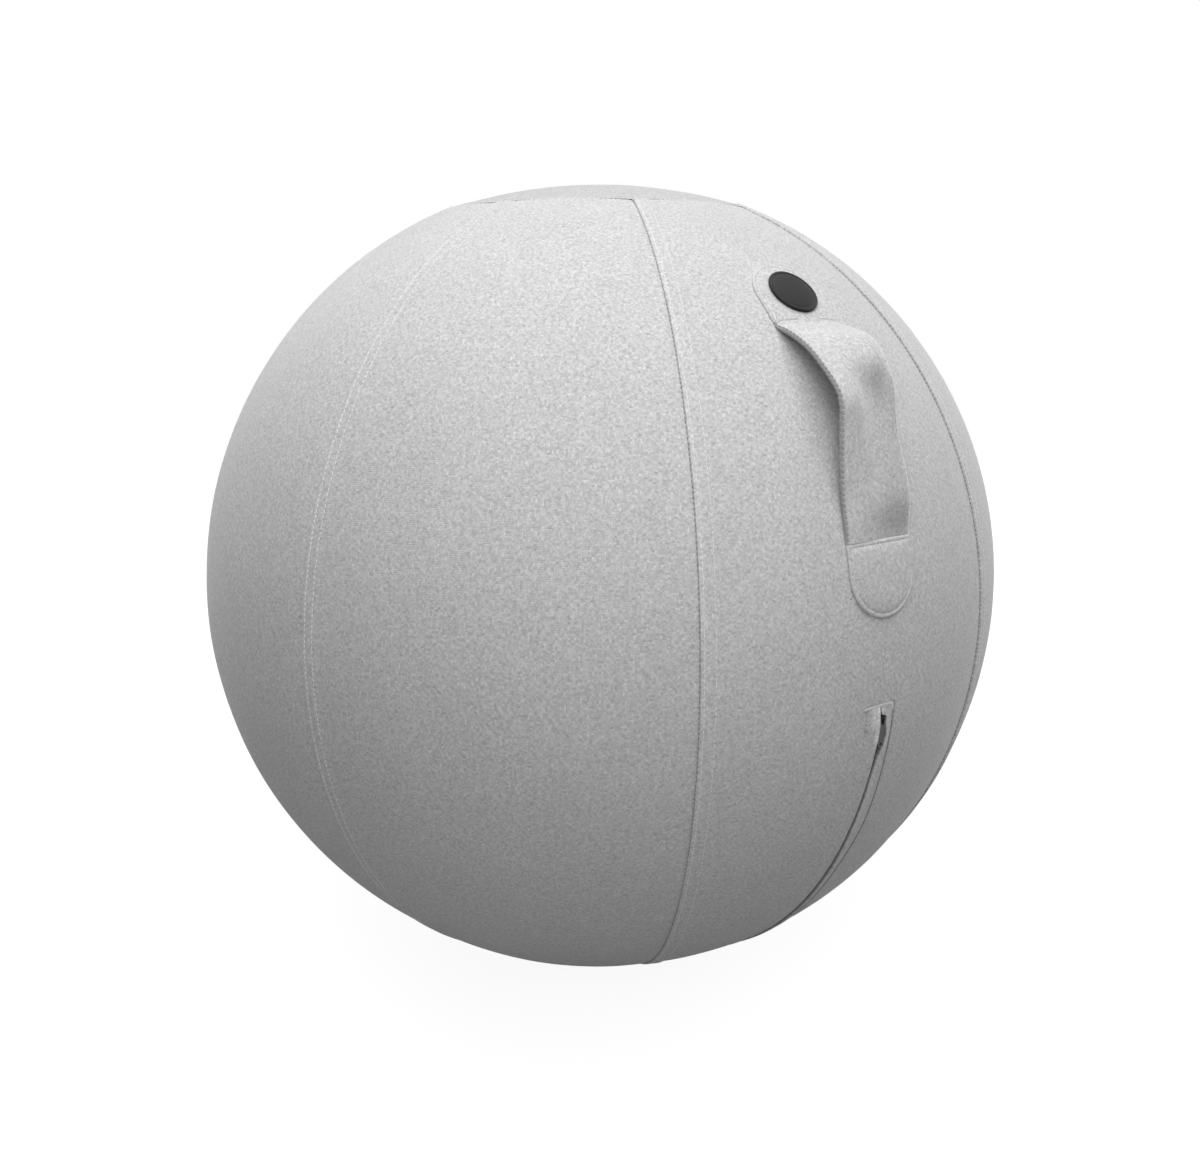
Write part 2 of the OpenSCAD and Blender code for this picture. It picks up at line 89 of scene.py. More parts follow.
# Seams: a panel's folded left edge lies over the right edge of its neighbour
SEAM_DEPTH = 2.0 * MM
FOLD_T = 0.9 * MM
FOLD_R = 0.55 * MM
# How much lighter a fold's edge is painted, a painted highlight
FOLD_HIGHLIGHT = 0.06
ALLOWANCE_W = 9.5 * MM
ALLOWANCE_FADE = 3 * MM
UNDERLAP = 1.2 * MM
VALLEY_T = 0.5 * MM
VALLEY_W = 3 * MM
ROWS_IN = (2.3 * MM, 9.2 * MM)
ROW_DIP, ROW_DIP_W, ROW_LIFT = 0.3 * MM, 0.8 * MM, 0.1 * MM
ROW_END_X, ROW_END_SHORT = 80 * MM, 0.01
# Place and width of that painted highlight, and the depth and reach of the painted shade on cloth that
# runs under a fold
FOLD_HIGHLIGHT_AT, FOLD_HIGHLIGHT_W = 1.9 * MM, 1.8 * MM
FOOT_SHADE, FOOT_W = 0.11, 2.4 * MM
LEAST_SHADE = 0.01
FOOT_STITCH_IN, FOOT_STITCH_LIFT = -0.3 * MM, 0.15 * MM
FOOT_STITCH_PITCH, FOOT_STITCH_L, FOOT_STITCH_R = 3.2 * MM, 1.7 * MM, 0.25 * MM
# How far each panel's left seam lies right of an even eighth, from the front panel on
SEAM_SHIFTS = np.array([-0.3, 8.8, 0, 0, 0, 0, 0, -2.2]) * MM
STITCH_PITCH = 3.4 * MM
STITCH_L = 2.7 * MM
THREAD_R = 0.26 * MM
STITCH_SINK, STITCH_TIP, STITCH_SWELL = 0.8, 0.55, 0.45

# Rim of the cap and patch, folded over the panels' ends
CAP_FOLD_T = 0.5 * MM
CAP_FOLD_R = 0.3 * MM
CAP_FOLD_FADE = 2 * MM
# Painted shadow on a folded rim's wall, and a painted highlight along its edge
WALL_SHADE, WALL_W = 0.6, 0.1 * MM
EDGE_HIGHLIGHT, EDGE_HIGHLIGHT_AT, EDGE_HIGHLIGHT_W = 0.24, 0.7 * MM, 0.45 * MM
# Dark cord in the groove round the cap, a painted shadow
CAP_SHADOW_CORD_R = 0.32 * MM
CAP_SHADOW_CORD_LIFT = 0.1 * MM
CAP_STITCH_IN, CAP_STITCH_OUT = 0.6 * MM, -0.9 * MM
CAP_STITCH_PITCH = 4.2 * MM

# Carry strap: heights over the ball of its edges and its fold in mm, at latitudes in degrees
STRAP_HALF_W = 27 * MM
STRAP_T = 3.2 * MM
STRAP_TOP_LAT = math.radians(46.2)
STRAP_FOOT_LAT = math.radians(12.7)
SPAN_TOP_LAT = math.radians(42.17)
SPAN_LOW_LAT = math.radians(16.34)
LEFT_EDGE = ((43, 3.2), (42.17, 3.25), (41.7, 3.7), (41, 5.6), (40, 8.8), (38, 14.6), (34, 22.0),
             (32, 24.9), (31, 25.5), (30, 24.5), (28, 19.2), (25, 12.2), (21, 5.6), (18, 3.6),
             (17.2, 3.0), (16.34, 2.2))
FOLD_LINE = ((43, 3.2), (42.17, 3.25), (41.7, 4.0), (41, 6.2), (40, 10.6), (39, 15.4), (37, 21.8),
             (35.6, 23.6), (34.8, 23.4), (34, 22.2), (33, 19.0), (32, 15.9), (31, 14.0), (30, 13.0),
             (28.5, 12.2), (27, 11.5), (25, 10.5), (22.5, 9.4), (21, 8.6), (20, 7.3), (19, 5.4),
             (18, 3.2), (17.2, 1.8), (16.34, 1.0))
RIGHT_EDGE = ((43, 3.2), (42.17, 3.25), (41.7, 4.0), (41, 6.2), (40, 10.6), (39, 15.0), (37, 20.6),
              (35.8, 21.6), (34, 21.4), (32.5, 20.8), (31.2, 18.8), (29.7, 15.2), (28, 12.2),
              (26.5, 10.2), (25, 9.6), (22, 8.9), (20.7, 8.2), (19.6, 6.6), (18.5, 4.5), (17.5, 2.6),
              (16.34, 1.4))
# Where across its width the strap takes the fold's height and leaves it, and its even slant
BEND_FROM, BEND_OVER, EDGE_FROM, EDGE_OVER = 0.12, 0.5, 0.8, 0.2
SLANT = 0.35
# The strap grows flat into its upper end from this latitude on, in degrees
FLAT_FROM, FLAT_OVER = 40.6, 1.5
# A raised crease and the painted highlight on it: its place across the width, and each end's latitude
CREASE_AT, CREASE_W, CREASE_HIGHLIGHT_W = 0.36, 0.07, 0.025
RIDGE_RISE = 1.2 * MM
RIDGE_SPAN = (22, 6, 33.5, 2.5)
CREASE_LIGHT = 0.14
CREASE_SPAN = (24, 5, 33, 2)
# Painted shade on the strap's face: the core of its fold, and two painted shades, each with its
# starts across the width and down the strap and how far it takes to grow
CORE_SHADE, CORE_AT, CORE_W, CORE_LAT, CORE_LAT_W = 0.16, 0.78, 0.15, 31.6, 2.4
GROWING_SHADES = ((0.1, 0.45, 0.3, 34.5, 2), (0.16, 0.1, 0.6, 21, 3))
EDGE_STITCH_IN = 2.5 * MM
EDGE_GROOVE = 0.3 * MM
BEAD_R = 0.55 * MM
FLUSH_BEAD_R = 0.5 * MM
BEAD_PITCH = 1.5 * MM
# Whipping round the free strap's edges: rows of cord, each with its inset and its depth under
# the face, and the dots of thread on top
WHIP_PITCH, WHIP_DOT_SHIFT = 3.4 * MM, 10
WHIP_ROWS = ((0.5, 0.55), (0.25, 1.65), (0.5, 2.7))
WHIP_DOT_L, WHIP_DOT_R = 1.5 * MM, 0.3 * MM
SUNK = 0.15 * MM
# Webbing inside the free strap: its inset from the strap's edges, its thickness and how far it lies
# under the strap's face
WEB_IN, WEB_T, WEB_TRIM = 2.2 * MM, 1.2 * MM, 1.0 * MM
BACKING_MARGIN, BACKING_T = 4 * MM, 0.8 * MM
LINING_DEPTH = 2.1 * MM
# Height of a sewn strap end over the ball, by the distance inside its outline
SEWN_PROFILE = np.array([(0, 0.15), (0, 1.0), (0.12, 1.5), (0.4, 1.85), (0.8, 2.0), (1.3, 2.05),
                         (1.8, 2.0), (2.15, 1.8), (2.5, 1.65), (2.85, 1.8), (3.3, 2.1), (4.2, 2.45),
                         (6, 2.8), (9, 3.05), (13, 3.15), (17, 3.2)]) * MM
# The same for the upper end, with the loops that close its middle
FLUSH_PROFILE = np.concatenate([SEWN_PROFILE, np.array([(21, 3.2), (25, 3.2), (26.6, 3.2)]) * MM])

# Zip
SLOT_HALF = 4.95 * MM
ZIP_TOP_LAT = -math.radians(1.94)
ZIP_END_LAT = -math.radians(64.4)
RIGHT_LIP_OUT = 11.4 * MM
RIGHT_LIP_TAPER, TAPER_FROM, TAPER_OVER = 4.4 * MM, 17, 11
LEFT_LIP_OUT = 12.5 * MM
LIP_T = 1.3 * MM
LIP_RISE = 1.1 * MM
LIP_DEPTH = 2.2 * MM
# Shares of a lip's width at its grid's columns: its wall, its crest and its edge
LIP_SHARE = np.array([0, 0, 0, 0, 0.02, 0.06, 0.14, 0.26, 0.42, 0.6, 0.78, 0.86, 0.9, 0.94, 0.97, 1, 1])
LIP_STITCH_IN = 1.0 * MM
LIP_STITCH_L = 2.2 * MM
RIGHT_STITCH_PITCH = 3.6 * MM
RIGHT_STITCH_R = 1.3 * THREAD_R
TACK_PITCH, TACK_HALF_L, TACK_LEAN, TACK_R = 0.55 * MM, 1.0 * MM, 0.14 * MM, 0.25 * MM
TAPE_IN, TAPE_OUT, TAPE_T = 3.3 * MM, 16.3 * MM, 0.5 * MM
TAPE_MORE = 0.018


def ease(t):
    t = np.clip(t, 0, 1)
    return t * t * (3 - 2 * t)


def hill(t, middle, width):
    return np.exp(-(((t - middle) / width) ** 2))


def roll(d, r):
    """Lift of a face that rolls in at its edge with radius r, at the distance d from the edge."""
    return -r * (1 - np.sqrt(1 - (1 - np.clip(d / r, 0, 1)) ** 2))


def circle(count):
    """Angles all round, evenly spread."""
    return np.linspace(0, 2 * math.pi, count, endpoint=False)


def within(value, low, low_over, high, high_over):
    """1 between low and high, and 0 outside, with a soft step inside each end."""
    return ease((high - value) / high_over) * ease((value - low) / low_over)


def seam_lift(left, right):
    """Lift of a panel at distances from its seams: folded at the left one, under at the right."""
    lift = FOLD_T * (1 - ease((left - ALLOWANCE_W) / ALLOWANCE_FADE)) + roll(left, FOLD_R)
    for inset in ROWS_IN:
        lift = lift - ROW_DIP * hill(left, inset, ROW_DIP_W)
    return lift - VALLEY_T * (1 - ease(right / VALLEY_W))


def foot_shade(d):
    """Painted shade on the cloth that runs under a folded rim, at the distance d from it."""
    return FOOT_SHADE * (1 - ease(d / FOOT_W))


def seam_shade(left, right):
    """Painted shade on a panel where it runs under a fold, and painted highlight along its own fold."""
    return foot_shade(right) - FOLD_HIGHLIGHT * hill(left, FOLD_HIGHLIGHT_AT, FOLD_HIGHLIGHT_W)


def cap_fold(d):
    """Lift of the cap near its folded rim, which lies over the panels' ends."""
    return CAP_FOLD_T * (1 - ease((d - ALLOWANCE_W) / CAP_FOLD_FADE)) + roll(d, CAP_FOLD_R)


def fold_shade(d):
    """Painted shade and highlight on a folded rim: its wall is painted dark for the shadow there, and
    its edge a little lighter.
    """
    return WALL_SHADE * (d < WALL_W) - EDGE_HIGHLIGHT * hill(d, EDGE_HIGHLIGHT_AT, EDGE_HIGHLIGHT_W)


def through(points, at):
    """Smooth curve through points (place, value), read at the places at."""
    p = np.array(sorted(points), float)
    x, y = p[:, 0], p[:, 1]
    slope = np.gradient(y, x)
    i = np.clip(np.searchsorted(x, at) - 1, 0, len(x) - 2)
    h = x[i + 1] - x[i]
    t = np.clip((at - x[i]) / h, 0, 1)
    return ((1 + 2 * t) * (1 - t) ** 2 * y[i] + t * (1 - t) ** 2 * h * slope[i]
            + t * t * (3 - 2 * t) * y[i + 1] + t * t * (t - 1) * h * slope[i + 1])


def waves(u, v):
    """Gentle uneven waves over the places (u, v)."""
    total = np.zeros(np.broadcast(u, v).shape)
    for _ in range(WAVE_COUNT):
        length = rng.uniform(WAVE_MIN_L, WAVE_MAX_L)
        turn, phase = rng.uniform(0, 2 * math.pi, 2)
        way = (u * math.cos(turn) + v * math.sin(turn)) * 2 * math.pi / length
        total += np.sin(way + phase)
    return total * WAVE_H / math.sqrt(WAVE_COUNT)


def face_rho(x):
    """Radius of a panel's face about the sideways axis."""
    return BELLY + np.sqrt(ARC_R**2 - x**2)


def on_face(x, lat, lift=0.0):
    """Points over the front panel, and the way its face looks there."""
    x, lat, lift = np.broadcast_arrays(x, lat, lift)
    side, out = x / ARC_R, np.sqrt(1 - (x / ARC_R) ** 2)
    normal = np.stack([side, -out * np.cos(lat), out * np.sin(lat)], -1)
    foot = np.stack([0 * x, -BELLY * np.cos(lat), BELLY * np.sin(lat)], -1)
    return foot + normal * (ARC_R + lift)[..., None], normal


def turned(points, index):
    """Points turned about the upright axis, from the front panel to another."""
    a = index * 2 * HALF_ANGLE
    c, s = math.cos(a), math.sin(a)
    x, y, z = np.moveaxis(points, -1, 0)
    return np.stack([c * x - s * y, s * x + c * y, z], -1)


def seam_x(cos_lat, d):
    """Sideways place at the distance d inside a panel's seam."""
    k = 1 / (cos_lat * math.tan(HALF_ANGLE))
    e = d / (cos_lat * math.sin(HALF_ANGLE)) - BELLY
    q = 1 + k * k
    return (-k * e + np.sqrt((k * e) ** 2 - q * (e * e - ARC_R**2))) / q


def end_lat(x, d):
    """Latitude at the distance d short of the cap's edge."""
    plan = np.sqrt(CAP_EDGE_R**2 - x**2) - CAP_BACK
    return np.arccos(plan / face_rho(x)) - d / face_rho(x)


def grid_faces(rows, columns, wrap=False):
    """Quads of a grid of points, numbered row by row. With wrap, the last column meets the first."""
    r, c = np.meshgrid(np.arange(rows - 1), np.arange(columns if wrap else columns - 1),
                       indexing="ij")
    right = (c + 1) % columns
    corners = [r * columns + c, r * columns + right, (r + 1) * columns + right, (r + 1) * columns + c]
    return np.stack(corners, -1).reshape(-1, 4)


def closed_faces(rows, columns, both=False):
    """Quads of a grid of loops, closed across its last loop, or across its first one as well."""
    near = np.arange(columns // 2 - 1)
    far = columns - 1 - near
    end = np.stack([near, near + 1, far - 1, far], -1)
    return np.concatenate([grid_faces(rows, columns, wrap=True), *([end[:, ::-1]] if both else []),
                           end + (rows - 1) * columns])


def way_along(points):
    """Distance along a line of points at each of them."""
    return np.concatenate([[0], np.cumsum(np.linalg.norm(np.diff(points, axis=0), axis=1))])


def unit(vectors):
    return vectors / np.linalg.norm(vectors, axis=-1, keepdims=True)


def sample(places, s, values):
    """Values of several columns, known at the places s, read at other places."""
    return np.stack([np.interp(places, s, column) for column in values.T], -1)


def make(name, points, faces, material, uv=None, flip=False, shade=None, flat=None):
    """Mesh object of quads, from points about the ball's centre. uv has one place per point, and
    shade one number, the painted shade there, negative for painted highlight. flat marks faces with
    sharp edges."""
    points = points.reshape(-1, 3) + (0, 0, CENTRE_Z)
    if flip:
        faces = faces[:, ::-1]
    mesh = bpy.data.meshes.new(name)
    mesh.vertices.add(len(points))
    mesh.vertices.foreach_set("co", points.astype(np.float32).ravel())
    mesh.loops.add(faces.size)
    mesh.loops.foreach_set("vertex_index", faces.astype(np.int32).ravel())
    mesh.polygons.add(len(faces))
    mesh.polygons.foreach_set("loop_start", np.arange(0, faces.size, 4, dtype=np.int32))
    mesh.polygons.foreach_set("use_smooth", np.ones(len(faces), bool) if flat is None else ~flat)
    mesh.update(calc_edges=True)
    if uv is not None:
        layer = mesh.uv_layers.new(name="cloth")
        uv = np.asarray(uv, np.float32).reshape(-1, 2)
        layer.data.foreach_set("uv", uv[faces.ravel()].ravel())
    if shade is not None:
        values = mesh.attributes.new("shade", "FLOAT", "POINT")
        values.data.foreach_set("value", np.asarray(shade, np.float32).ravel())
    mesh.materials.append(material)
    mesh.validate()
    obj = bpy.data.objects.new(name, mesh)
    bpy.context.scene.collection.objects.link(obj)
    return obj


def piece(obj, slot, *nodes):
    """Sets an object on the cover and hides the nodes that it replaces. Its slot is not used."""
    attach(obj, "cover")
    if nodes:
        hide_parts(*nodes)


def cover_sheet(name, points, faces, material, uv, shade, flip=False):
    """One cloth of the cover."""
    cloth = make(name + "_cloth", points, faces, material, uv, flip, shade)
    piece(cloth, "cover_cloth", name)


# Weave: how much lighter the warp is than the weft, how irregular its slanting lines are, and how
# far apart neighbouring yarns lie in the noise that gives each its tone
TWILL_CONTRAST = 0.06
CREPE = 3.0
YARN_SPREAD = 7.31
# How far the mesh's shade attribute darkens the cloth for painted shade; where negative it lightens it
# for painted highlight
SHADE_DEPTH = 0.92


class Nodes:
    """Nodes of a material or world: each call adds one and gives its output."""

    def __init__(self, owner, clear=False):
        owner.use_nodes = True
        self.owner, self.tree = owner, owner.node_tree
        if clear:
            self.tree.nodes.clear()

    def add(self, kind, out=0, **inputs):
        node = self.tree.nodes.new(kind)
        for key, value in inputs.items():
            if hasattr(node, key):
                setattr(node, key, value)
            else:
                self.put(node.inputs[key.replace("_", " ")], value)
        return node.outputs[out] if len(node.outputs) else None

    def put(self, socket, value):
        if isinstance(value, bpy.types.NodeSocket):
            self.tree.links.new(value, socket)
        else:
            socket.default_value = value

    def join(self, kind, a, b, **inputs):
        """Two shaders joined by one node."""
        joined = self.add(kind, **inputs)
        for socket, value in zip(list(joined.node.inputs)[-2:], (a, b)):
            self.put(socket, value)
        return joined

    def math(self, operation, a, b=0.0, c=0.0):
        node = self.tree.nodes.new("ShaderNodeMath")
        node.operation = operation
        for socket, value in zip(node.inputs, (a, b, c)):
            self.put(socket, value)
        return node.outputs[0]

    def vector(self, x, y, z=0.0):
        return self.add("ShaderNodeCombineXYZ", X=x, Y=y, Z=z)

    def noise(self, vector, scale, detail=2.0, roughness=0.5):
        return self.add("ShaderNodeTexNoise", Vector=vector, Scale=scale, Detail=detail,
                        Roughness=roughness)

    def mix(self, factor, a, b):
        """a where factor is 0 and b where it is 1, for numbers."""
        return self.math("ADD", a, self.math("MULTIPLY", factor, self.math("SUBTRACT", b, a)))

    def shade(self, colour, value):
        """The colour made lighter or darker by the number value."""
        return self.add("ShaderNodeVectorMath", operation="SCALE", Vector=colour, Scale=value)

    def set(self, **inputs):
        shader = self.tree.nodes["Principled BSDF"]
        for key, value in inputs.items():
            self.put(shader.inputs[key.replace("_", " ")], value)

    def bump(self, height, distance, strength=1.0):
        self.set(Normal=self.add("ShaderNodeBump", Height=height, Distance=distance,
                                 Strength=strength))


def woven(name, colour, yarn, melange, relief, sheen=0.3):
    """Crepe weave of mixed light and dark yarns, each as wide as yarn, drawn over the cloth's map."""
    n = Nodes(bpy.data.materials.new(name))
    place = n.add("ShaderNodeSeparateXYZ", Vector=n.add("ShaderNodeUVMap", uv_map="cloth"))
    u, v = (n.math("DIVIDE", place.node.outputs[k], yarn) for k in (0, 1))
    warp, weft = n.math("FLOOR", u), n.math("FLOOR", v)
    chance = n.add("ShaderNodeTexWhiteNoise", Vector=n.vector(warp, weft))
    step = n.math("MULTIPLY_ADD", chance, CREPE, n.math("ADD", warp, weft))
    over = n.math("LESS_THAN", n.math("FLOORED_MODULO", step, 4.0), 2.0)
    warp_place = n.vector(n.math("MULTIPLY", warp, YARN_SPREAD), n.math("MULTIPLY", v, 0.6))
    weft_place = n.vector(n.math("MULTIPLY", u, 0.6), n.math("MULTIPLY", weft, YARN_SPREAD), 40.0)
    tone = n.mix(over, n.noise(weft_place, 1.0, detail=1.0), n.noise(warp_place, 1.0, detail=1.0))
    slub = n.noise(n.vector(n.math("MULTIPLY", u, 0.5), n.math("MULTIPLY", v, 0.5), 9.0), 1.0)
    broad = n.noise(n.vector(u, v, 70.0), 0.02, detail=1.0)
    light = 1.0
    for value, amount in ((tone, melange), (slub, melange * 0.4), (broad, 0.06)):
        light = n.math("MULTIPLY_ADD", n.math("SUBTRACT", value, 0.5), amount, light)
    light = n.math("MULTIPLY_ADD", over, TWILL_CONTRAST, light)
    round_warp, round_weft = (
        n.math("SINE", n.math("MULTIPLY", n.math("FRACT", across), math.pi)) for across in (u, v))
    height = n.mix(over, round_weft, round_warp)
    # Painted shade in the weave: each yarn is darker down in its pits, and the mesh's shade attribute
    # adds each piece's painted shade and highlight
    pit = n.math("MULTIPLY_ADD", height, 0.10, 0.93)
    dark = n.add("ShaderNodeAttribute", out=2, attribute_name="shade")
    shaded = n.math("MULTIPLY_ADD", dark, -SHADE_DEPTH, 1.0)
    n.set(Base_Color=n.shade(colour, n.math("MULTIPLY", n.math("MULTIPLY", light, pit), shaded)),
          Roughness=n.math("MULTIPLY_ADD", tone, 0.1, 0.82),
          Specular_IOR_Level=0.15, Sheen_Weight=sheen, Sheen_Roughness=0.45)
    n.bump(height, relief, 0.6)
    return n.owner


def spun(name, grey):
    """Sewing thread with fine fibres and a slight change of tone."""
    n = Nodes(bpy.data.materials.new(name))
    place = n.add("ShaderNodeNewGeometry")
    tone = n.noise(place, 900.0, detail=1.0)
    n.set(Base_Color=n.shade((grey,) * 3, n.math("MULTIPLY_ADD", tone, 0.3, 0.85)), Roughness=0.7,
          Sheen_Weight=0.2)
    n.bump(n.noise(place, 4000.0, detail=1.0), 0.05 * MM, 0.5)
    return n.owner


def metal(name, colour, roughness):
    """Cast zip metal with a fine tumbled grain and duller patches."""
    n = Nodes(bpy.data.materials.new(name))
    place = n.add("ShaderNodeNewGeometry")
    wear = n.noise(place, 160.0, detail=4.0, roughness=0.65)
    n.set(Base_Color=n.shade(colour, n.math("MULTIPLY_ADD", wear, 0.3, 0.85)), Metallic=1.0,
          Roughness=n.math("MULTIPLY_ADD", wear, 0.25, roughness - 0.12))
    n.bump(n.noise(place, 2600.0, detail=2.0), 0.03 * MM, 0.5)
    return n.owner


def moulded(name, colour, roughness, grain, relief):
    """Moulded rubber or vinyl: a fine pebbled grain with slightly uneven gloss."""
    n = Nodes(bpy.data.materials.new(name))
    place = n.add("ShaderNodeNewGeometry")
    cells = n.add("ShaderNodeTexVoronoi", Vector=place, Scale=1 / grain)
    cloud = n.noise(place, 60.0, detail=3.0)
    n.set(Base_Color=n.shade(colour, n.math("MULTIPLY_ADD", cloud, 0.24, 0.88)),
          Roughness=n.math("MULTIPLY_ADD", cloud, 0.16, roughness - 0.08), Specular_IOR_Level=0.2)
    n.bump(cells, relief, 0.5)
    return n.owner


GREY = (0.56, 0.56, 0.56)
# The cap's and patch's cloth is the panels' cloth with painted shade: a darker grey against the stronger
# light on the top
CAP_SHADED_GREY = (0.48, 0.48, 0.48)
YARN = 1.3 * MM
MELANGE = 0.95
cover_cloth = woven("cover_cloth", GREY, YARN, MELANGE, 0.12 * MM)
shaded_cap_cloth = woven("shaded_cap_cloth", CAP_SHADED_GREY, YARN, MELANGE, 0.12 * MM)
strap_cloth = woven("strap_cloth", GREY, YARN, MELANGE, 0.12 * MM)
inside_cloth = woven("inside_cloth", (0.30, 0.30, 0.30), 0.9 * MM, 0.4, 0.1 * MM, sheen=0.1)
webbing_cloth = woven("webbing_cloth", (0.02, 0.02, 0.021), 1.6 * MM, 0.4, 0.3 * MM, sheen=0.1)
tape_cloth = woven("tape_cloth", (0.07, 0.07, 0.071), 0.6 * MM, 0.3, 0.1 * MM, sheen=0.1)
seam_thread = spun("seam_thread", 0.80)
edge_thread = spun("edge_thread", 0.64)
# The whipping's thread on the strap's left edge, painted darker for the shadow that lies there
shaded_whip_thread = spun("shaded_whip_thread", 0.34)
# Stitches in the seams' and the right lip's grooves, their thread painted dark for the shade there
groove_shade_thread = spun("groove_shade_thread", 0.20)
# Painted shadow: the dark cord in the cap's groove and the dark dots beside the left whipping
shadow_thread = spun("shadow_thread", 0.10)
zip_teeth = moulded("zip_teeth", (0.10, 0.10, 0.102), 0.45, 0.3 * MM, 0.02 * MM)
zip_metal = metal("zip_metal", (0.075, 0.075, 0.077), 0.5)
badge_rubber = moulded("badge_rubber", (0.005, 0.005, 0.0055), 0.5, 0.45 * MM, 0.03 * MM)
bladder_vinyl = moulded("bladder_vinyl", (0.33, 0.36, 0.40), 0.38, 1.2 * MM, 0.05 * MM)
valve_white = moulded("valve_white", (0.72, 0.72, 0.70), 0.35, 0.6 * MM, 0.02 * MM)


def threads(name, starts, ends, normals, radius, material, sides=6, rings=6):
    """One short stitch from each start to its end, sunk into the cloth at both ends."""
    t = np.linspace(0, 1, rings)[None, :, None]
    way = ends - starts
    across = np.cross(unit(way), normals)
    height = (4 * t * (1 - t)) ** 0.5 - STITCH_SINK
    middle = starts[:, None] + way[:, None] * t + normals[:, None] * height * radius
    a = circle(sides)[:, None]
    size = radius * (STITCH_TIP + STITCH_SWELL * np.sin(math.pi * t) ** 0.5)
    rim = across[:, None, None] * np.cos(a) + normals[:, None, None] * np.sin(a)
    points = middle[:, :, None] + rim * size[..., None]
    offset = np.arange(len(starts))[:, None, None] * rings * sides
    faces = (grid_faces(rings, sides, wrap=True)[None] + offset).reshape(-1, 4)
    return make(name, points, faces, material, flip=True)


def walk(points, normals, pitch, length):
    """Starts, ends and normals of stitches of a length set at a pitch along a line of points."""
    s = way_along(points)
    first = np.arange(0.5 * pitch, s[-1] - length, pitch)
    normal = unit(sample(first + length / 2, s, normals))
    return sample(first, s, points), sample(first + length, s, points), normal


def bead(name, points, normals, radius, pitch, material, closed=False, rib=0.12, lean=1.0,
         phase=0.0):
    """Cord along a line of points, ribbed by the thread wound round it. rib is a rib's share of
    its thickness, and lean is how far a rib slants, from 0 to 1."""
    if closed:
        points, normals = (np.concatenate([p, p[:1]]) for p in (points, normals))
    s = way_along(points)
    rings_per_rib, sides = 6, 8
    places = np.linspace(0, s[-1], int(s[-1] / pitch) * rings_per_rib)
    line, up = sample(places, s, points), unit(sample(places, s, normals))
    across = np.cross(unit(np.gradient(line, axis=0)), up)
    a = circle(sides)
    wrap = 2 * math.pi * places / pitch + phase
    size = radius * (1 + rib * np.sin(wrap[:, None] + lean * a))
    rim = across[:, None] * np.cos(a)[:, None] + up[:, None] * np.sin(a)[:, None]
    points = line[:, None] + rim * size[..., None]
    return make(name, points, grid_faces(len(places), sides, wrap=True), material, flip=True)


# Steps of a grid's lines next to an edge: close together where the cloth rolls in
EDGE_STEPS = np.array([0.04, 0.12, 0.25, 0.45, 0.7, 1.0, 1.4, 1.9, 2.6, 4.0, 5.6, 6.6, 7.3, 7.9, 8.6,
                       9.6, 11, 13, 16]) * MM
PANEL_COLUMNS, PANEL_ROWS = 13, 301


def panel_lines(slotted):
    """For each column of a panel: its side, its distance inside the seam and its share of the
    way out from the middle. The outermost column on each side is the turned-in edge."""
    inner = np.linspace(0, 1, PANEL_COLUMNS + 1)[(0 if slotted else 1):-1]
    steps = np.concatenate([EDGE_STEPS[::-1], EDGE_STEPS[:1]])
    half = np.stack([np.ones(len(inner) + len(steps)),
                     np.concatenate([np.full(len(inner), EDGE_STEPS[-1]), steps]),
                     np.concatenate([inner, np.ones(len(steps))])])
    middle = [] if slotted else [np.array([[0], [EDGE_STEPS[-1]], [0]])]
    return np.concatenate([half[:, ::-1] * [[-1], [1], [1]], *middle, half], axis=1)


def seam_shift(index, t):
    """How far a panel's left seam is shifted at t, from -1 at its foot to 1 at its top."""
    return SEAM_SHIFTS[index % len(PANELS)] * (1 - t**8)


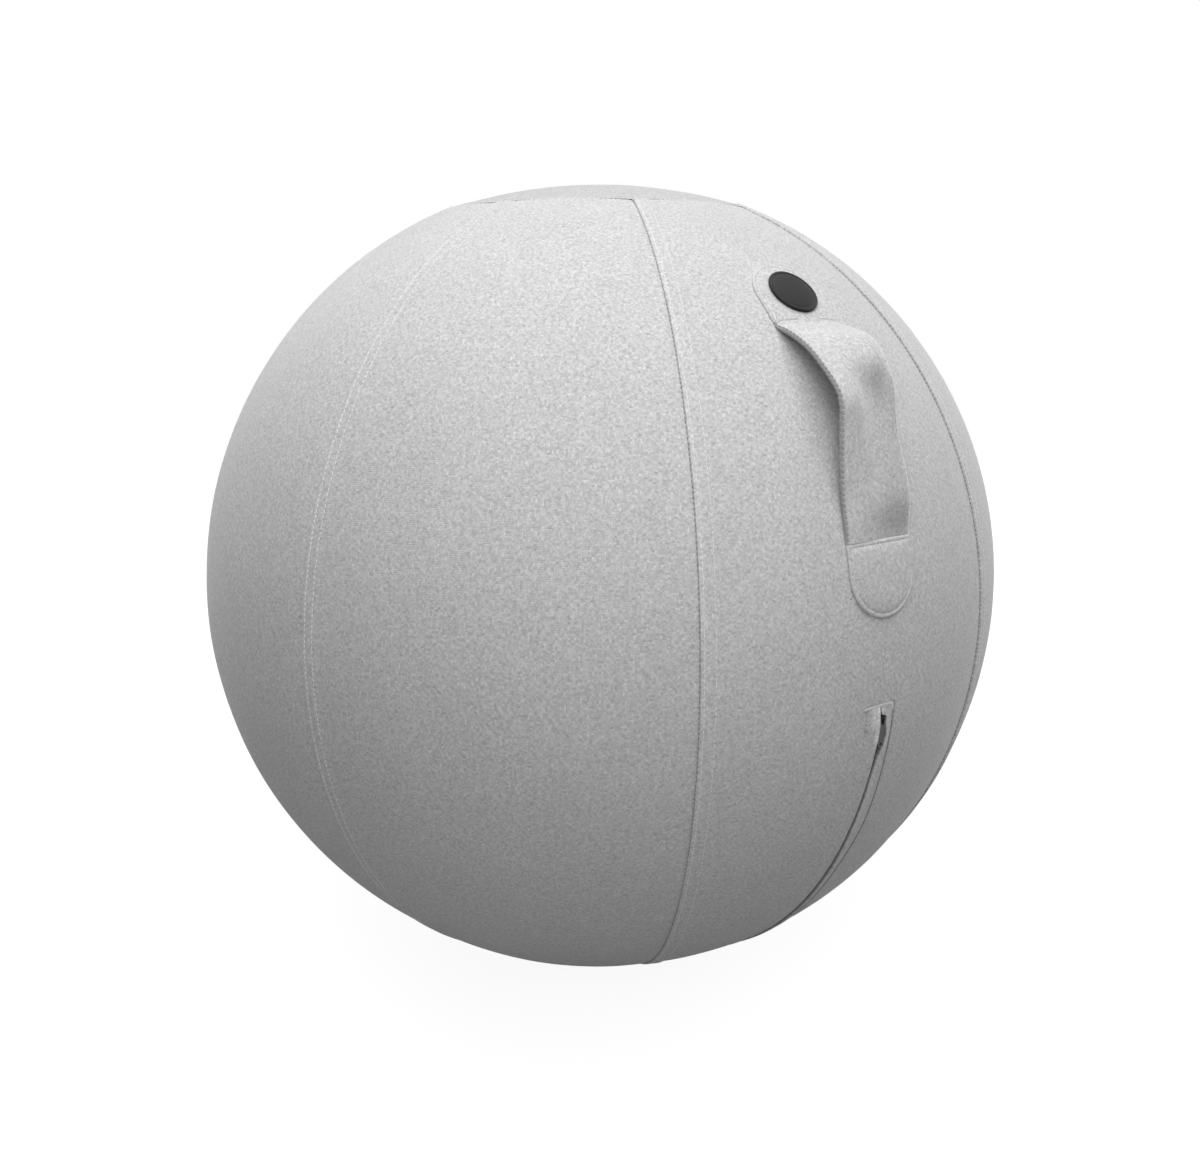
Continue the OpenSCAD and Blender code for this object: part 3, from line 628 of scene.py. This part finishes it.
def panel(index, name):
    """Cover panel with its folded left seam and stitches, and the zip's slot in the front one."""
    slotted = name == "panel_front"
    side, depth, share = panel_lines(slotted)
    inner = np.linspace(-1, 1, PANEL_ROWS)[1:-1]
    end = np.ones(len(EDGE_STEPS) + 1)
    row_t = np.concatenate([-end, inner, end])[:, None]
    steps = np.concatenate([EDGE_STEPS[:1], EDGE_STEPS])
    row_d = np.concatenate([steps, np.full(len(inner), EDGE_STEPS[-1]), steps[::-1]])[:, None]
    base = SLOT_HALF if slotted else 0.0
    left_in, right_in = seam_shift(index, row_t), -seam_shift(index + 1, row_t)
    moved = np.where(side < 0, left_in, right_in - UNDERLAP)
    x = np.zeros((len(row_t), len(side)))
    for _ in range(10):
        lat = row_t * end_lat(x, row_d)
        seam = seam_x(np.cos(lat), depth[None] + moved)
        x = side * (base + share * (seam - base))
    forward = face_rho(x) * np.cos(lat) * math.sin(HALF_ANGLE)
    left = forward + x * math.cos(HALF_ANGLE) - left_in
    right = forward - x * math.cos(HALF_ANGLE) - right_in
    ends = (end_lat(x, 0) - np.abs(lat)) * face_rho(x)
    calm = ease(left / CALM_W) * ease(right / CALM_W) * ease(ends / CALM_W)
    lift = seam_lift(left, right) + waves(x, lat * BALL_R) * calm
    lift[[0, -1]] = lift[:, [0, -1]] = -SEAM_DEPTH
    # Painted shade where the panel runs under its neighbour's fold and under the cap's rim, and painted
    # highlight along its own fold
    shade, under_cap = seam_shade(left, right), foot_shade(ends)
    shade = np.where(under_cap > LEAST_SHADE, np.maximum(shade, under_cap), shade)
    points, _ = on_face(x, lat, lift)
    faces = grid_faces(*x.shape)
    if slotted:
        columns = x.shape[1]
        middle = columns // 2 - 1
        row, column = faces[:, 0] // columns, faces[:, 0] % columns
        inside = (column == middle) & (lat[row, middle] > ZIP_END_LAT) & (
            lat[np.minimum(row + 1, len(lat) - 1), middle] < ZIP_TOP_LAT)
        faces = faces[~inside]
    uv = np.stack([x, lat * BALL_R], -1)
    cover_sheet(name, turned(points, index), faces, cover_cloth, uv, shade)
    for inset, label in zip(ROWS_IN, ("edge", "inner")):
        seam_row(index, f"{name}_{label}_row", inset, FOLD_T - ROW_DIP + ROW_LIFT, STITCH_PITCH,
                 STITCH_L, THREAD_R, seam_thread)
    seam_row(index, name + "_seam_stitches", FOOT_STITCH_IN, -VALLEY_T + FOOT_STITCH_LIFT,
             FOOT_STITCH_PITCH, FOOT_STITCH_L, FOOT_STITCH_R, groove_shade_thread)


def seam_row(index, name, inset, lift, pitch, length, radius, thread):
    """Row of stitches along a panel's left seam, inset from its folded edge."""
    t = np.linspace(-1, 1, 800)
    lat = t * (end_lat(ROW_END_X, 0.0) - ROW_END_SHORT)
    points, normals = on_face(-seam_x(np.cos(lat), seam_shift(index, t) + inset), lat, lift)
    stitches = walk(turned(points, index), turned(normals, index), pitch, length)
    piece(threads(name, *stitches, radius, thread), "cover_cloth")


def cap_rim(angle, inset):
    """Radius of the cap's outline, drawn in by inset, in the direction angle from the front."""
    a = (angle + HALF_ANGLE) % (2 * HALF_ANGLE) - HALF_ANGLE
    r = CAP_EDGE_R - inset
    return -CAP_BACK * np.cos(a) + np.sqrt(r * r - (CAP_BACK * np.sin(a)) ** 2)


def on_cap(angle, radius, lift=0.0):
    """Points over the cap's dome, and the way it looks there."""
    up = np.sqrt(DOME_R**2 - radius**2)
    normal = np.stack([radius * np.sin(angle), -radius * np.cos(angle), up], -1) / DOME_R
    return normal * np.asarray(DOME_R + lift)[..., None] + (0, 0, DOME_Z), normal


def cap(name, up):
    """Top cap, or the bottom patch, which is the same turned over and flat on the floor."""
    angle = circle(len(PANELS) * 30)[None]
    plan_steps = EDGE_STEPS * RIM_SLOPE
    rim = cap_rim(angle, np.concatenate([plan_steps[:1], plan_steps])[:, None])
    inner = cap_rim(angle, plan_steps[-1]) * np.linspace(1, CAP_MIDDLE, 36)[1:, None]
    radius = np.concatenate([rim, inner])
    from_rim = (cap_rim(angle, 0) - radius) / RIM_SLOPE
    angle = np.broadcast_to(angle, radius.shape)
    uv = np.stack([radius * np.sin(angle), radius * np.cos(angle)], -1)
    lift = cap_fold(from_rim) + waves(uv[..., 0], uv[..., 1]) * ease(from_rim / CALM_W)
    lift[0] = -SEAM_DEPTH
    points, _ = on_cap(angle, radius, lift)
    if not up:
        points = points * (1, 1, -1)
        points[..., 2] = np.maximum(points[..., 2], -CENTRE_Z)
    # Painted shadow on the rim's wall and painted highlight along its edge
    cover_sheet(name, points, closed_faces(*radius.shape), shaded_cap_cloth, uv, fold_shade(from_rim),
                flip=not up)
    cap_stitches(name, up)


def cap_stitches(name, up):
    """Small stitches across the groove round a cap, and a dark cord in it, which is painted shadow."""
    angle = circle(1500)
    flip = np.array((1, 1, 1 if up else -1))
    inside, normals = on_cap(angle, cap_rim(angle, CAP_STITCH_IN), CAP_FOLD_T - 0.05 * MM)
    outside, _ = on_cap(angle, cap_rim(angle, CAP_STITCH_OUT), 0.05 * MM)
    s = way_along(inside)
    index = np.searchsorted(s, np.arange(0, s[-1], CAP_STITCH_PITCH))
    index = index[index < len(angle)]
    ends = (values[index] * flip for values in (inside, outside, normals))
    piece(threads(name + "_seam_stitches", *ends, THREAD_R * 0.9, seam_thread), "cover_cloth")
    points, normals = on_cap(angle, cap_rim(angle, -0.2 * MM), CAP_SHADOW_CORD_LIFT)
    cord = bead(name + "_shadow_cord", points * flip, normals * flip, CAP_SHADOW_CORD_R, STITCH_PITCH,
                shadow_thread, closed=True, rib=0.45, lean=0.0)
    piece(cord, "cover_cloth")


def strap_face(x, lat, trim=0.0):
    """Points on the outer face of the free strap, and the way it looks there."""
    def at(x, lat):
        degrees = np.degrees(lat)
        t = (x / STRAP_HALF_W + 1) / 2
        part = SLANT * t + (1 - SLANT) * ease((t - BEND_FROM) / BEND_OVER)
        edge = ease((t - EDGE_FROM) / EDGE_OVER)
        right = (1 - edge) * through(FOLD_LINE, degrees) + edge * through(RIGHT_EDGE, degrees)
        height = ((1 - part) * through(LEFT_EDGE, degrees) + part * right) * MM
        sewn = np.interp(STRAP_HALF_W - np.abs(x), SEWN_PROFILE[3:, 0], SEWN_PROFILE[3:, 1])
        height = height + (sewn - STRAP_T) * ease((degrees - FLAT_FROM) / FLAT_OVER)
        ridge = RIDGE_RISE * hill(t, CREASE_AT, CREASE_W) * within(degrees, *RIDGE_SPAN)
        rho = face_rho(x) + height + ridge - trim
        return np.stack([x, -rho * np.cos(lat), rho * np.sin(lat)], -1)

    x, lat = np.broadcast_arrays(x, lat)
    small = 1e-4
    sideways = at(x + small, lat) - at(x - small, lat)
    upward = at(x, lat + small) - at(x, lat - small)
    return at(x, lat), unit(np.cross(sideways, upward))


def band_section(half_w, thickness, groove):
    """Round of a flat band's section: places sideways, and depths under its outer face."""
    r = thickness / 2
    turn = np.linspace(0, math.pi, 9)[1:-1]
    flat = half_w - r
    near = flat - np.array([0, 0.4, 0.7, 0.95, 1.2, 1.6, 2.6]) * MM
    face = np.concatenate([-near, np.linspace(-near[-1], near[-1], 23)[1:-1], near[::-1]])
    dip = groove * hill(half_w - np.abs(face), EDGE_STITCH_IN, 0.45 * MM)
    side = flat + r * np.sin(turn)
    down = r - r * np.cos(turn)
    places = np.concatenate([face, side, face[::-1], -side[::-1]])
    depths = np.concatenate([dip, down, np.full(len(face), thickness), down[::-1]])
    return places, depths


def strap_lats(count):
    return np.linspace(SPAN_TOP_LAT, SPAN_LOW_LAT, count)


def strap_blend(obj, slot, *nodes):
    """Hides the nodes that a piece of the free strap replaces, and bakes its place into its mesh."""
    if nodes:
        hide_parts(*nodes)
    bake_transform(obj)


def strap_band(half_w, thickness, groove, rows, trim=0.0):
    """Closed band along the free strap's arch: its section, its latitudes, points and faces."""
    places, depths = band_section(half_w, thickness, groove)
    lat = strap_lats(rows)[:, None]
    face, normal = strap_face(places[None], lat, trim)
    points = face - normal * depths[None, :, None]
    return places, depths, lat, points, grid_faces(rows, len(places), wrap=True)


def strap_shade(t, degrees):
    """Painted shade on the strap's face and painted highlight on its crease, at the share t of its width
    and a latitude in degrees.
    """
    shade = CORE_SHADE * hill(t, CORE_AT, CORE_W) * hill(degrees, CORE_LAT, CORE_LAT_W)
    for amount, start, over, top, down in GROWING_SHADES:
        shade = shade + amount * ease((t - start) / over) * ease((top - degrees) / down)
    crease_highlight = hill(t, CREASE_AT, CREASE_HIGHLIGHT_W) * within(degrees, *CREASE_SPAN)
    return shade - CREASE_LIGHT * crease_highlight


def free_strap():
    places, depths, lat, points, faces = strap_band(STRAP_HALF_W, STRAP_T, EDGE_GROOVE, 150)
    around = way_along(np.stack([places, depths], -1)) - STRAP_HALF_W
    uv = np.stack(np.broadcast_arrays(around[None], lat * BALL_R), -1)
    # Painted shade in the core of the strap's fold and towards its right and lower side, and painted
    # highlight on its crease
    shade = strap_shade((places[None] / STRAP_HALF_W + 1) / 2, np.degrees(lat))
    shade = shade * (depths < STRAP_T / 2)[None]
    strap = make("handle_strap_cloth", points, faces, strap_cloth, uv, shade=shade)
    strap_blend(strap, "strap_cloth", "handle_strap")
    strap_edge(-1, "left")
    strap_edge(1, "right")


def strap_line(side, inset, depth):
    """Line along an edge of the free strap, at a distance inside it and one under its face."""
    lat = strap_lats(500)
    line, up = strap_face(np.full(len(lat), side * (STRAP_HALF_W - inset)), lat)
    return line - up * depth, up


def strap_edge(side, label):
    """Stitches and whipping along one edge of the free strap. On the left one, which lies in shadow, the
    whipping's thread is painted darker for that shadow.
    """
    line, up = strap_line(side, EDGE_STITCH_IN, SUNK)
    stitches = threads(f"handle_edge_stitch_{label}", *walk(line, up, STITCH_PITCH, STITCH_L),
                       THREAD_R * 0.8, edge_thread)
    strap_blend(stitches, "strap_cloth")
    for row, (inset, depth) in enumerate(WHIP_ROWS):
        line, up = strap_line(side, inset * MM, depth * MM)
        cord = bead(f"handle_whip_{label}_{row}", line, up, BEAD_R, WHIP_PITCH,
                    shaded_whip_thread if side < 0 else edge_thread, rib=0.35, lean=0.0,
                    phase=row * math.pi)
        strap_blend(cord, "strap_cloth")
    line, up = strap_line(side, WHIP_ROWS[0][0] * MM, SUNK)
    # On the shaded left edge, the dark dots are painted shadow beside the light ones
    dots = ((seam_thread, "light", 0), (shadow_thread, "dark", WHIP_DOT_SHIFT))
    for thread, tone, start in dots if side < 0 else dots[:1]:
        stitches = walk(line[start:], up[start:], WHIP_PITCH, WHIP_DOT_L)
        strap_blend(threads(f"handle_whip_{tone}_{label}", *stitches, WHIP_DOT_R, thread),
                    "strap_cloth")


def webbing():
    places, _, lat, points, faces = strap_band(STRAP_HALF_W - WEB_IN, WEB_T, 0.0, 90, WEB_TRIM)
    uv = np.stack(np.broadcast_arrays(places[None], lat * BALL_R), -1)
    strap_blend(make("handle_webbing_band", points, faces, webbing_cloth, uv), "webbing",
                "handle_webbing")


# Points along a sewn end's outline: round its half circle, down a side and along its edge
END_COUNT = (40, 14, 26)
FINE_COUNT = (160, 60, 100)


def end_outline(inset, straight, way, flush, count):
    """Outline of a sewn strap end, drawn in by inset: a half round, two sides and a straight edge
    at the distance straight. way is 1 for an end that is round above. A flush edge isn't drawn
    in, because the strap runs on from it."""
    arc, run, base = count
    r = STRAP_HALF_W - inset
    foot = straight - (0 if flush else inset)
    turn = np.linspace(0, math.pi, arc, endpoint=False)
    down = np.linspace(0, -foot, run, endpoint=False)
    over = np.linspace(-r, r, base, endpoint=False)
    x = np.concatenate([r * np.cos(turn), np.full(run, -r), over, np.full(run, r)])
    b = np.concatenate([r * np.sin(turn), down, np.full(base, -foot),
                        np.linspace(-foot, 0, run, endpoint=False)])
    return x, b * way


def sewn_end(name, centre_lat, straight, way, flush, thread):
    """Strap end that is sewn flat on the ball, pinched along its stitched rim."""
    profile = FLUSH_PROFILE if flush else SEWN_PROFILE
    x, b = np.array([end_outline(inset, straight, way, flush, END_COUNT)
                     for inset in profile[:, 0]]).swapaxes(0, 1)
    points, _ = on_face(x, centre_lat + b / BALL_R, profile[:, 1:])
    faces = closed_faces(*x.shape)
    arc, run, base = END_COUNT
    column = faces[:, 0] % x.shape[1]
    cloth = make(name + "_cloth", points, faces, strap_cloth, np.stack([x, b], -1), flip=way < 0,
                 flat=flush & (column >= arc + run) & (column < arc + run + base))
    piece(cloth, "strap_cloth", name)
    arc, run, base = FINE_COUNT
    shown = np.arange(-run, arc + run) if flush else slice(None)

    def rim_line(inset, lift):
        x, b = end_outline(inset, straight, way, flush, FINE_COUNT)
        line, up = on_face(x, centre_lat + b / BALL_R, lift)
        return line[shown], up[shown]

    cord = bead(name + "_bead", *rim_line(0.45 * MM, 1.15 * MM), FLUSH_BEAD_R if flush else BEAD_R,
                BEAD_PITCH, thread, closed=not flush)
    piece(cord, "strap_cloth")
    row = walk(*rim_line(EDGE_STITCH_IN, 1.6 * MM), STITCH_PITCH, STITCH_L)
    piece(threads(name + "_stitches", *row, THREAD_R, thread), "strap_cloth")


# Badge: its radius, how far over the ball it sits, and its profile from the rim inwards, in
# shares of the radius and heights in mm
BADGE_R = 17.8 * MM
BADGE_SEAT = STRAP_T + 0.2 * MM
BADGE_PROFILE = np.array([(1.0, 0.0), (1.0, 0.75), (0.985, 1.15), (0.955, 1.4), (0.92, 1.5),
                          (0.885, 1.42), (0.868, 1.25), (0.855, 1.14), (0.842, 1.25),
                          (0.82, 1.42), (0.78, 1.58), (0.7, 1.78), (0.6, 1.97), (0.48, 2.13),
                          (0.35, 2.26), (0.2, 2.35), (0.06, 2.39)])


def badge():
    """Plain rubber badge: a rounded rim, a fine groove and a faintly domed face, left bare."""
    turn = circle(96)[None]
    radius = BADGE_PROFILE[:, :1] * BADGE_R
    east, north = radius * np.cos(turn), radius * np.sin(turn)
    height = np.broadcast_to(BADGE_PROFILE[:, 1:] * MM + BADGE_SEAT, east.shape)
    middle, normal = on_face(0.0, STRAP_TOP_LAT)
    upward = np.array((0, math.sin(STRAP_TOP_LAT), math.cos(STRAP_TOP_LAT)))
    points = (middle + east[..., None] * (1, 0, 0) + north[..., None] * upward
              + height[..., None] * normal)
    piece(make("badge_plain", points, closed_faces(*east.shape), badge_rubber), "badge_rubber",
          "badge_disc")


# Sideways places of the slit's edges in mm, by degrees under the ball's middle height
SLIT_LEFT = ((0, -2.7), (1.9, -2.7), (2.3, -3.3), (2.8, -3.4), (3.4, -3.2), (4.5, -2.9), (6.0, -2.7),
             (6.7, -2.4), (7.3, -1.5), (8.2, -0.95), (10, -0.9), (14, -0.9), (66, -0.9))
SLIT_RIGHT = ((0, -2.6), (1.9, -2.7), (2.3, -2.5), (2.7, -1.9), (3.1, -0.9), (3.6, 0.7), (4.1, 2.0),
              (4.7, 3.4), (5.2, 4.3), (5.8, 4.9), (6.4, 4.5), (7.3, 3.6), (8.2, 2.7), (9.2, 1.8),
              (10.5, 1.05), (12, 0.9), (66, 0.9))
# Height of the left lip's rim in mm, which stands up beside the pull
LEFT_RIM = ((0, 1.0), (1.9, 1.2), (2.6, 2.4), (3.6, 3.2), (5.0, 3.5), (6.3, 3.3), (7.2, 2.2), (8.4, 1.2),
            (10, 0.9), (66, 0.8))
# Where the right lip rises and the left one's flap stands, in degrees under the middle height
RISE_SPAN = (1.8, 2.0, 10, 3.5)
FLAP_SPAN = (1.7, 0.6, 5.4, 1.2)
# Depths of the lip's wall under its crest and the painted shade on it, from inside the slit outwards
LIP_WALL = np.array([1.2, 0.55, 0.15]) * MM
WALL_SHADES = (0.8, 0.5, 0.25)
LIP_ROUND = 0.25 * MM
# The right lip's dip along its stitches and the painted shade there, each with its place and width
LIP_DIP, LIP_DIP_AT, LIP_DIP_W = 0.5 * MM, 0.9 * MM, 0.6 * MM
DIP_SHADE, DIP_SHADE_AT, DIP_SHADE_W = 0.6, 1.0 * MM, 1.1 * MM
# Painted highlight on the right lip's crest and on the left lip's rim and flap
CREST_LIGHT, CREST_LIGHT_AT, CREST_LIGHT_W = 0.12, 0.1, 0.14
RIM_LIGHT_AT, RIM_LIGHT_W, RIM_LIT_FROM, RIM_LIT_OVER = 0.8 * MM, 1.6 * MM, 0.9, 1.5
FLAP_LIGHT, FLAP_LIGHT_TO, FLAP_LIGHT_FADE = 0.3, 0.5, 0.35


def lip_outer(side, lat):
    """Outer edge of a lip. The right one grows narrower downwards."""
    taper = RIGHT_LIP_TAPER * ease((-np.degrees(lat) - TAPER_FROM) / TAPER_OVER)
    return RIGHT_LIP_OUT - taper if side > 0 else np.full(len(lat), LEFT_LIP_OUT)


def lip(name, side):
    """Folded strip beside the slit. The left one lies almost flat but for its raised top end."""
    lat = np.linspace(ZIP_TOP_LAT + 0.001, ZIP_END_LAT - 0.006, 420)
    degrees = -np.degrees(lat)
    outer = lip_outer(side, lat)[:, None]
    if side > 0:
        inner = through(SLIT_RIGHT, degrees) * MM
        crest = LIP_T + LIP_RISE * within(degrees, *RISE_SPAN)
        border = np.full(len(lat), 1.0 * MM)
        slope = 1 - ease((LIP_SHARE - 0.1) / 0.7)
    else:
        inner = -through(SLIT_LEFT, degrees) * MM
        flap = within(degrees, *FLAP_SPAN)
        crest = through(LEFT_RIM, degrees) * MM
        border = 0.3 * MM + 1.0 * MM * flap
        slope = (1 - LIP_SHARE) ** 3
    inner, crest, border = inner[:, None], crest[:, None], border[:, None]
    x = inner + LIP_SHARE * (outer - inner)
    height = border + (crest - border) * slope
    height[:, 0] = -LIP_DEPTH
    height[:, 1:4] = crest - LIP_WALL
    x[:, 3] += LIP_ROUND
    if side > 0:
        height -= LIP_DIP * hill(outer - x, LIP_DIP_AT, LIP_DIP_W)
    height[:, -1] = 0.05 * MM
    x[:, -2] -= LIP_ROUND
    points, _ = on_face(side * x, lat[:, None], height)
    uv = np.stack(np.broadcast_arrays(side * x, lat[:, None] * BALL_R), -1)
    # Painted shade in the right lip's stitch dip and painted highlight on its crest; on the left lip,
    # painted highlight on its rim and flap
    if side > 0:
        shade = DIP_SHADE * hill(outer - x, DIP_SHADE_AT, DIP_SHADE_W)
        shade = shade - CREST_LIGHT * hill(LIP_SHARE, CREST_LIGHT_AT, CREST_LIGHT_W)
    else:
        rim = hill(x - inner, RIM_LIGHT_AT, RIM_LIGHT_W)
        rim = rim * ease((crest / MM - RIM_LIT_FROM) / RIM_LIT_OVER)
        on_flap = 1 - ease((LIP_SHARE - FLAP_LIGHT_TO) / FLAP_LIGHT_FADE)
        shade = -FLAP_LIGHT * np.maximum(rim, flap[:, None] * on_flap)
    # Each lip's wall is painted dark for the shadow in the slit
    shade[:, :3] = WALL_SHADES
    cloth = make(name + "_cloth", points, grid_faces(*x.shape), cover_cloth, uv, flip=side > 0,
                 shade=shade)
    piece(cloth, "cover_cloth", name)
    lat = np.linspace(ZIP_TOP_LAT - 0.015, ZIP_END_LAT, 700)
    lift, pitch, radius, thread = (
        (0.75 * MM, RIGHT_STITCH_PITCH, RIGHT_STITCH_R, groove_shade_thread) if side > 0 else
        (0.15 * MM, STITCH_PITCH, THREAD_R, seam_thread))
    line, up = on_face(side * (lip_outer(side, lat) - LIP_STITCH_IN), lat, lift)
    stitches = walk(line, up, pitch, LIP_STITCH_L)
    piece(threads(name + "_stitches", *stitches, radius, thread), "cover_cloth")


def bar_tack(name, path, lift):
    """Close row of short stitches along a path of places (x in mm, degrees), which ends the slit."""
    path = np.array(path, float) * (MM, math.radians(1) * BALL_R)
    s = way_along(path)
    line = sample(np.arange(0, s[-1], TACK_PITCH), s, path)
    along = unit(np.gradient(line, axis=0))
    side = along[:, ::-1] * (-1, 1) * TACK_HALF_L
    lean = along * np.where(np.arange(len(line)) % 2 == 0, 1, -1)[:, None] * TACK_LEAN
    (starts, up), (ends, _) = (
        on_face(p[:, 0], p[:, 1] / BALL_R, lift) for p in (line + side + lean, line - side - lean))
    piece(threads(name, starts, ends, up, TACK_R, edge_thread), "cover_cloth")


def strip(node, slot, material, x_span, lat_span, thickness):
    """Flat layer of tape or cloth inside the front panel."""
    x = np.linspace(*x_span, 14)
    length = (lat_span[1] - lat_span[0]) * BALL_R
    lat = np.linspace(*lat_span, max(12, int(length / (3 * MM))))[:, None]
    around = np.concatenate([x, x[::-1]])[None]
    under = np.repeat([-LINING_DEPTH, -LINING_DEPTH - thickness], len(x))[None]
    points, _ = on_face(around, lat, under)
    uv = np.stack(np.broadcast_arrays(around, lat * BALL_R), -1)
    faces = closed_faces(len(lat), around.size, both=True)
    layer = make(node + "_cloth", points, faces, material, uv, flip=True)
    piece(layer, slot, node)


def dress(material, *nodes):
    """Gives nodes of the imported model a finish."""
    for name in nodes:
        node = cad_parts[name]
        if not node.material_slots:
            node.data.materials.append(material)
        for slot in node.material_slots:
            slot.material = material


AMBIENT = 0.01
WHITE = (1, 1, 1, 1)
# Name, azimuth and elevation in degrees, distance, size and power
LAMPS = (("overhead", -20, 84, 2.2, 2.2, 41.5), ("near_front", -32, 30, 1.1, 0.6, 3.1),
         ("right_front", 12, 45, 2.3, 1.6, 9.5), ("right_high", 40, 50, 2.3, 1.6, 3.2),
         ("left_low", -78, 20, 2.3, 1.6, 2.8), ("right_rim", 95, 10, 2.3, 1.6, 17.5),
         ("left_rim", -155, 40, 2.3, 1.6, 20))
# The floor's grey to the eye and to the light, and its glow, a little weaker under the ball
FLOOR_GREY, BOUNCE_GREY = (0.16, 0.16, 0.16, 1), (0.30, 0.30, 0.30, 1)
FLOOR_HALF_W = 60.0
GLOW_FROM, GLOW_TO, GLOW_UNDER, GLOW_AWAY = 0.35, 1.1, 0.93, 1.0
CAMERA_PLACE = (-0.4589, -0.7111, 0.5457)
CAMERA_LENS, CAMERA_SENSOR = 29.64, 36
CAMERA_SHIFT = (0.0001, -0.0034)


def aimed(name, data, place):
    """Lamp or camera at a place, which looks at the ball's centre."""
    obj = bpy.data.objects.new(name, data)
    obj.location = place
    obj.rotation_mode = "QUATERNION"
    obj.rotation_quaternion = (Vector(place) - Vector((0, 0, CENTRE_Z))).to_track_quat("Z", "Y")
    bpy.context.scene.collection.objects.link(obj)
    return obj


def area_lamp(name, azimuth, elevation, distance, size, power):
    """Soft square lamp."""
    a, e = math.radians(azimuth), math.radians(elevation)
    lamp = bpy.data.lights.new(name, "AREA")
    lamp.size, lamp.energy = size, power
    way = Vector((math.sin(a) * math.cos(e), -math.cos(a) * math.cos(e), math.sin(e)))
    aimed(name, lamp, Vector((0, 0, CENTRE_Z)) + way * distance)


def direct_rays(n):
    """1 for camera, glossy and transmission rays, which show the white surroundings."""
    path = n.tree.nodes.new("ShaderNodeLightPath").outputs
    seen = n.math("MAXIMUM", path["Is Camera Ray"], path["Is Glossy Ray"])
    return n.math("MAXIMUM", seen, path["Is Transmission Ray"])


def studio():
    """White surroundings that give next to no light themselves, and the lamps."""
    scene = bpy.context.scene
    scene.view_settings.view_transform = "Standard"
    scene.world = bpy.data.worlds.new("studio")
    n = Nodes(scene.world, clear=True)
    dim, white = (
        n.add("ShaderNodeBackground", Color=WHITE, Strength=strength) for strength in (AMBIENT, 1.0))
    surface = n.join("ShaderNodeMixShader", dim, white, Fac=direct_rays(n))
    n.add("ShaderNodeOutputWorld", Surface=surface)
    for lamp in LAMPS:
        area_lamp(*lamp)


def floor():
    """White floor: bright to the eye, dull to the light, so that little comes back up."""
    w = FLOOR_HALF_W
    mesh = bpy.data.meshes.new("floor")
    mesh.from_pydata([(-w, -w, 0), (w, -w, 0), (w, w, 0), (-w, w, 0)], [], [(0, 1, 2, 3)])
    n = Nodes(bpy.data.materials.new("floor"), clear=True)
    far = n.add("ShaderNodeVectorMath", out=1, operation="LENGTH",
                Vector=n.add("ShaderNodeNewGeometry"))
    glow = n.add("ShaderNodeMapRange", interpolation_type="SMOOTHSTEP", Value=far,
                 From_Min=GLOW_FROM, From_Max=GLOW_TO, To_Min=GLOW_UNDER, To_Max=GLOW_AWAY)
    lit = n.join("ShaderNodeAddShader", n.add("ShaderNodeBsdfDiffuse", Color=FLOOR_GREY),
                 n.add("ShaderNodeEmission", Strength=glow))
    bounce = n.add("ShaderNodeBsdfDiffuse", Color=BOUNCE_GREY)
    surface = n.join("ShaderNodeMixShader", bounce, lit, Fac=direct_rays(n))
    n.add("ShaderNodeOutputMaterial", Surface=surface)
    mesh.materials.append(n.owner)
    obj = bpy.data.objects.new("floor", mesh)
    bpy.context.scene.collection.objects.link(obj)


def camera():
    """The photograph's view, from the front left and a little above."""
    data = bpy.data.cameras.new("camera")
    data.sensor_width, data.lens = CAMERA_SENSOR, CAMERA_LENS
    data.shift_x, data.shift_y = CAMERA_SHIFT
    bpy.context.scene.camera = aimed("camera", data, CAMERA_PLACE)


def build():
    for index, name in enumerate(PANELS):
        panel(index, name)
    cap("top_cap", True)
    cap("bottom_patch", False)
    sewn_end("handle_upper_end", STRAP_TOP_LAT, (STRAP_TOP_LAT - SPAN_TOP_LAT) * BALL_R, 1, True,
             seam_thread)
    sewn_end("handle_lower_tab", STRAP_FOOT_LAT, (SPAN_LOW_LAT - STRAP_FOOT_LAT) * BALL_R, -1, False,
             edge_thread)
    free_strap()
    webbing()
    badge()
    lip("zip_lip_left", -1)
    lip("zip_lip_right", 1)
    bar_tack("zip_top_tack", ((-16.0, -2.12), (-8, -2.0), (2, -2.0), (6.4, -2.05), (7.9, -2.17),
                              (8.6, -2.42), (8.8, -2.9)), 1.2 * MM)
    bar_tack("zip_end_tack", ((-9, -64.6), (9, -64.6)), 1.0 * MM)
    half_w = STRAP_HALF_W + BACKING_MARGIN
    margin, reach = BACKING_MARGIN / BALL_R, half_w / BALL_R
    for node, lats in (("handle_backing_upper", (SPAN_TOP_LAT - margin, STRAP_TOP_LAT + reach)),
                       ("handle_backing_lower", (STRAP_FOOT_LAT - reach, SPAN_LOW_LAT + margin))):
        strip(node, "backing_cloth", inside_cloth, (-half_w, half_w), lats, BACKING_T)
    lats = (ZIP_END_LAT - TAPE_MORE, ZIP_TOP_LAT + TAPE_MORE)
    strip("zip_tape_left", "zip_tape", tape_cloth, (-TAPE_OUT, -TAPE_IN), lats, TAPE_T)
    strip("zip_tape_right", "zip_tape", tape_cloth, (TAPE_IN, TAPE_OUT), lats, TAPE_T)
    dress(zip_teeth, "zip_teeth_left", "zip_teeth_right")
    dress(zip_metal, "zip_top_stops", "zip_bottom_stop", "zip_slider", "zip_pull")
    dress(bladder_vinyl, "bladder", "valve_seat")
    dress(valve_white, "valve_plug")


camera()
build()
studio()
floor()
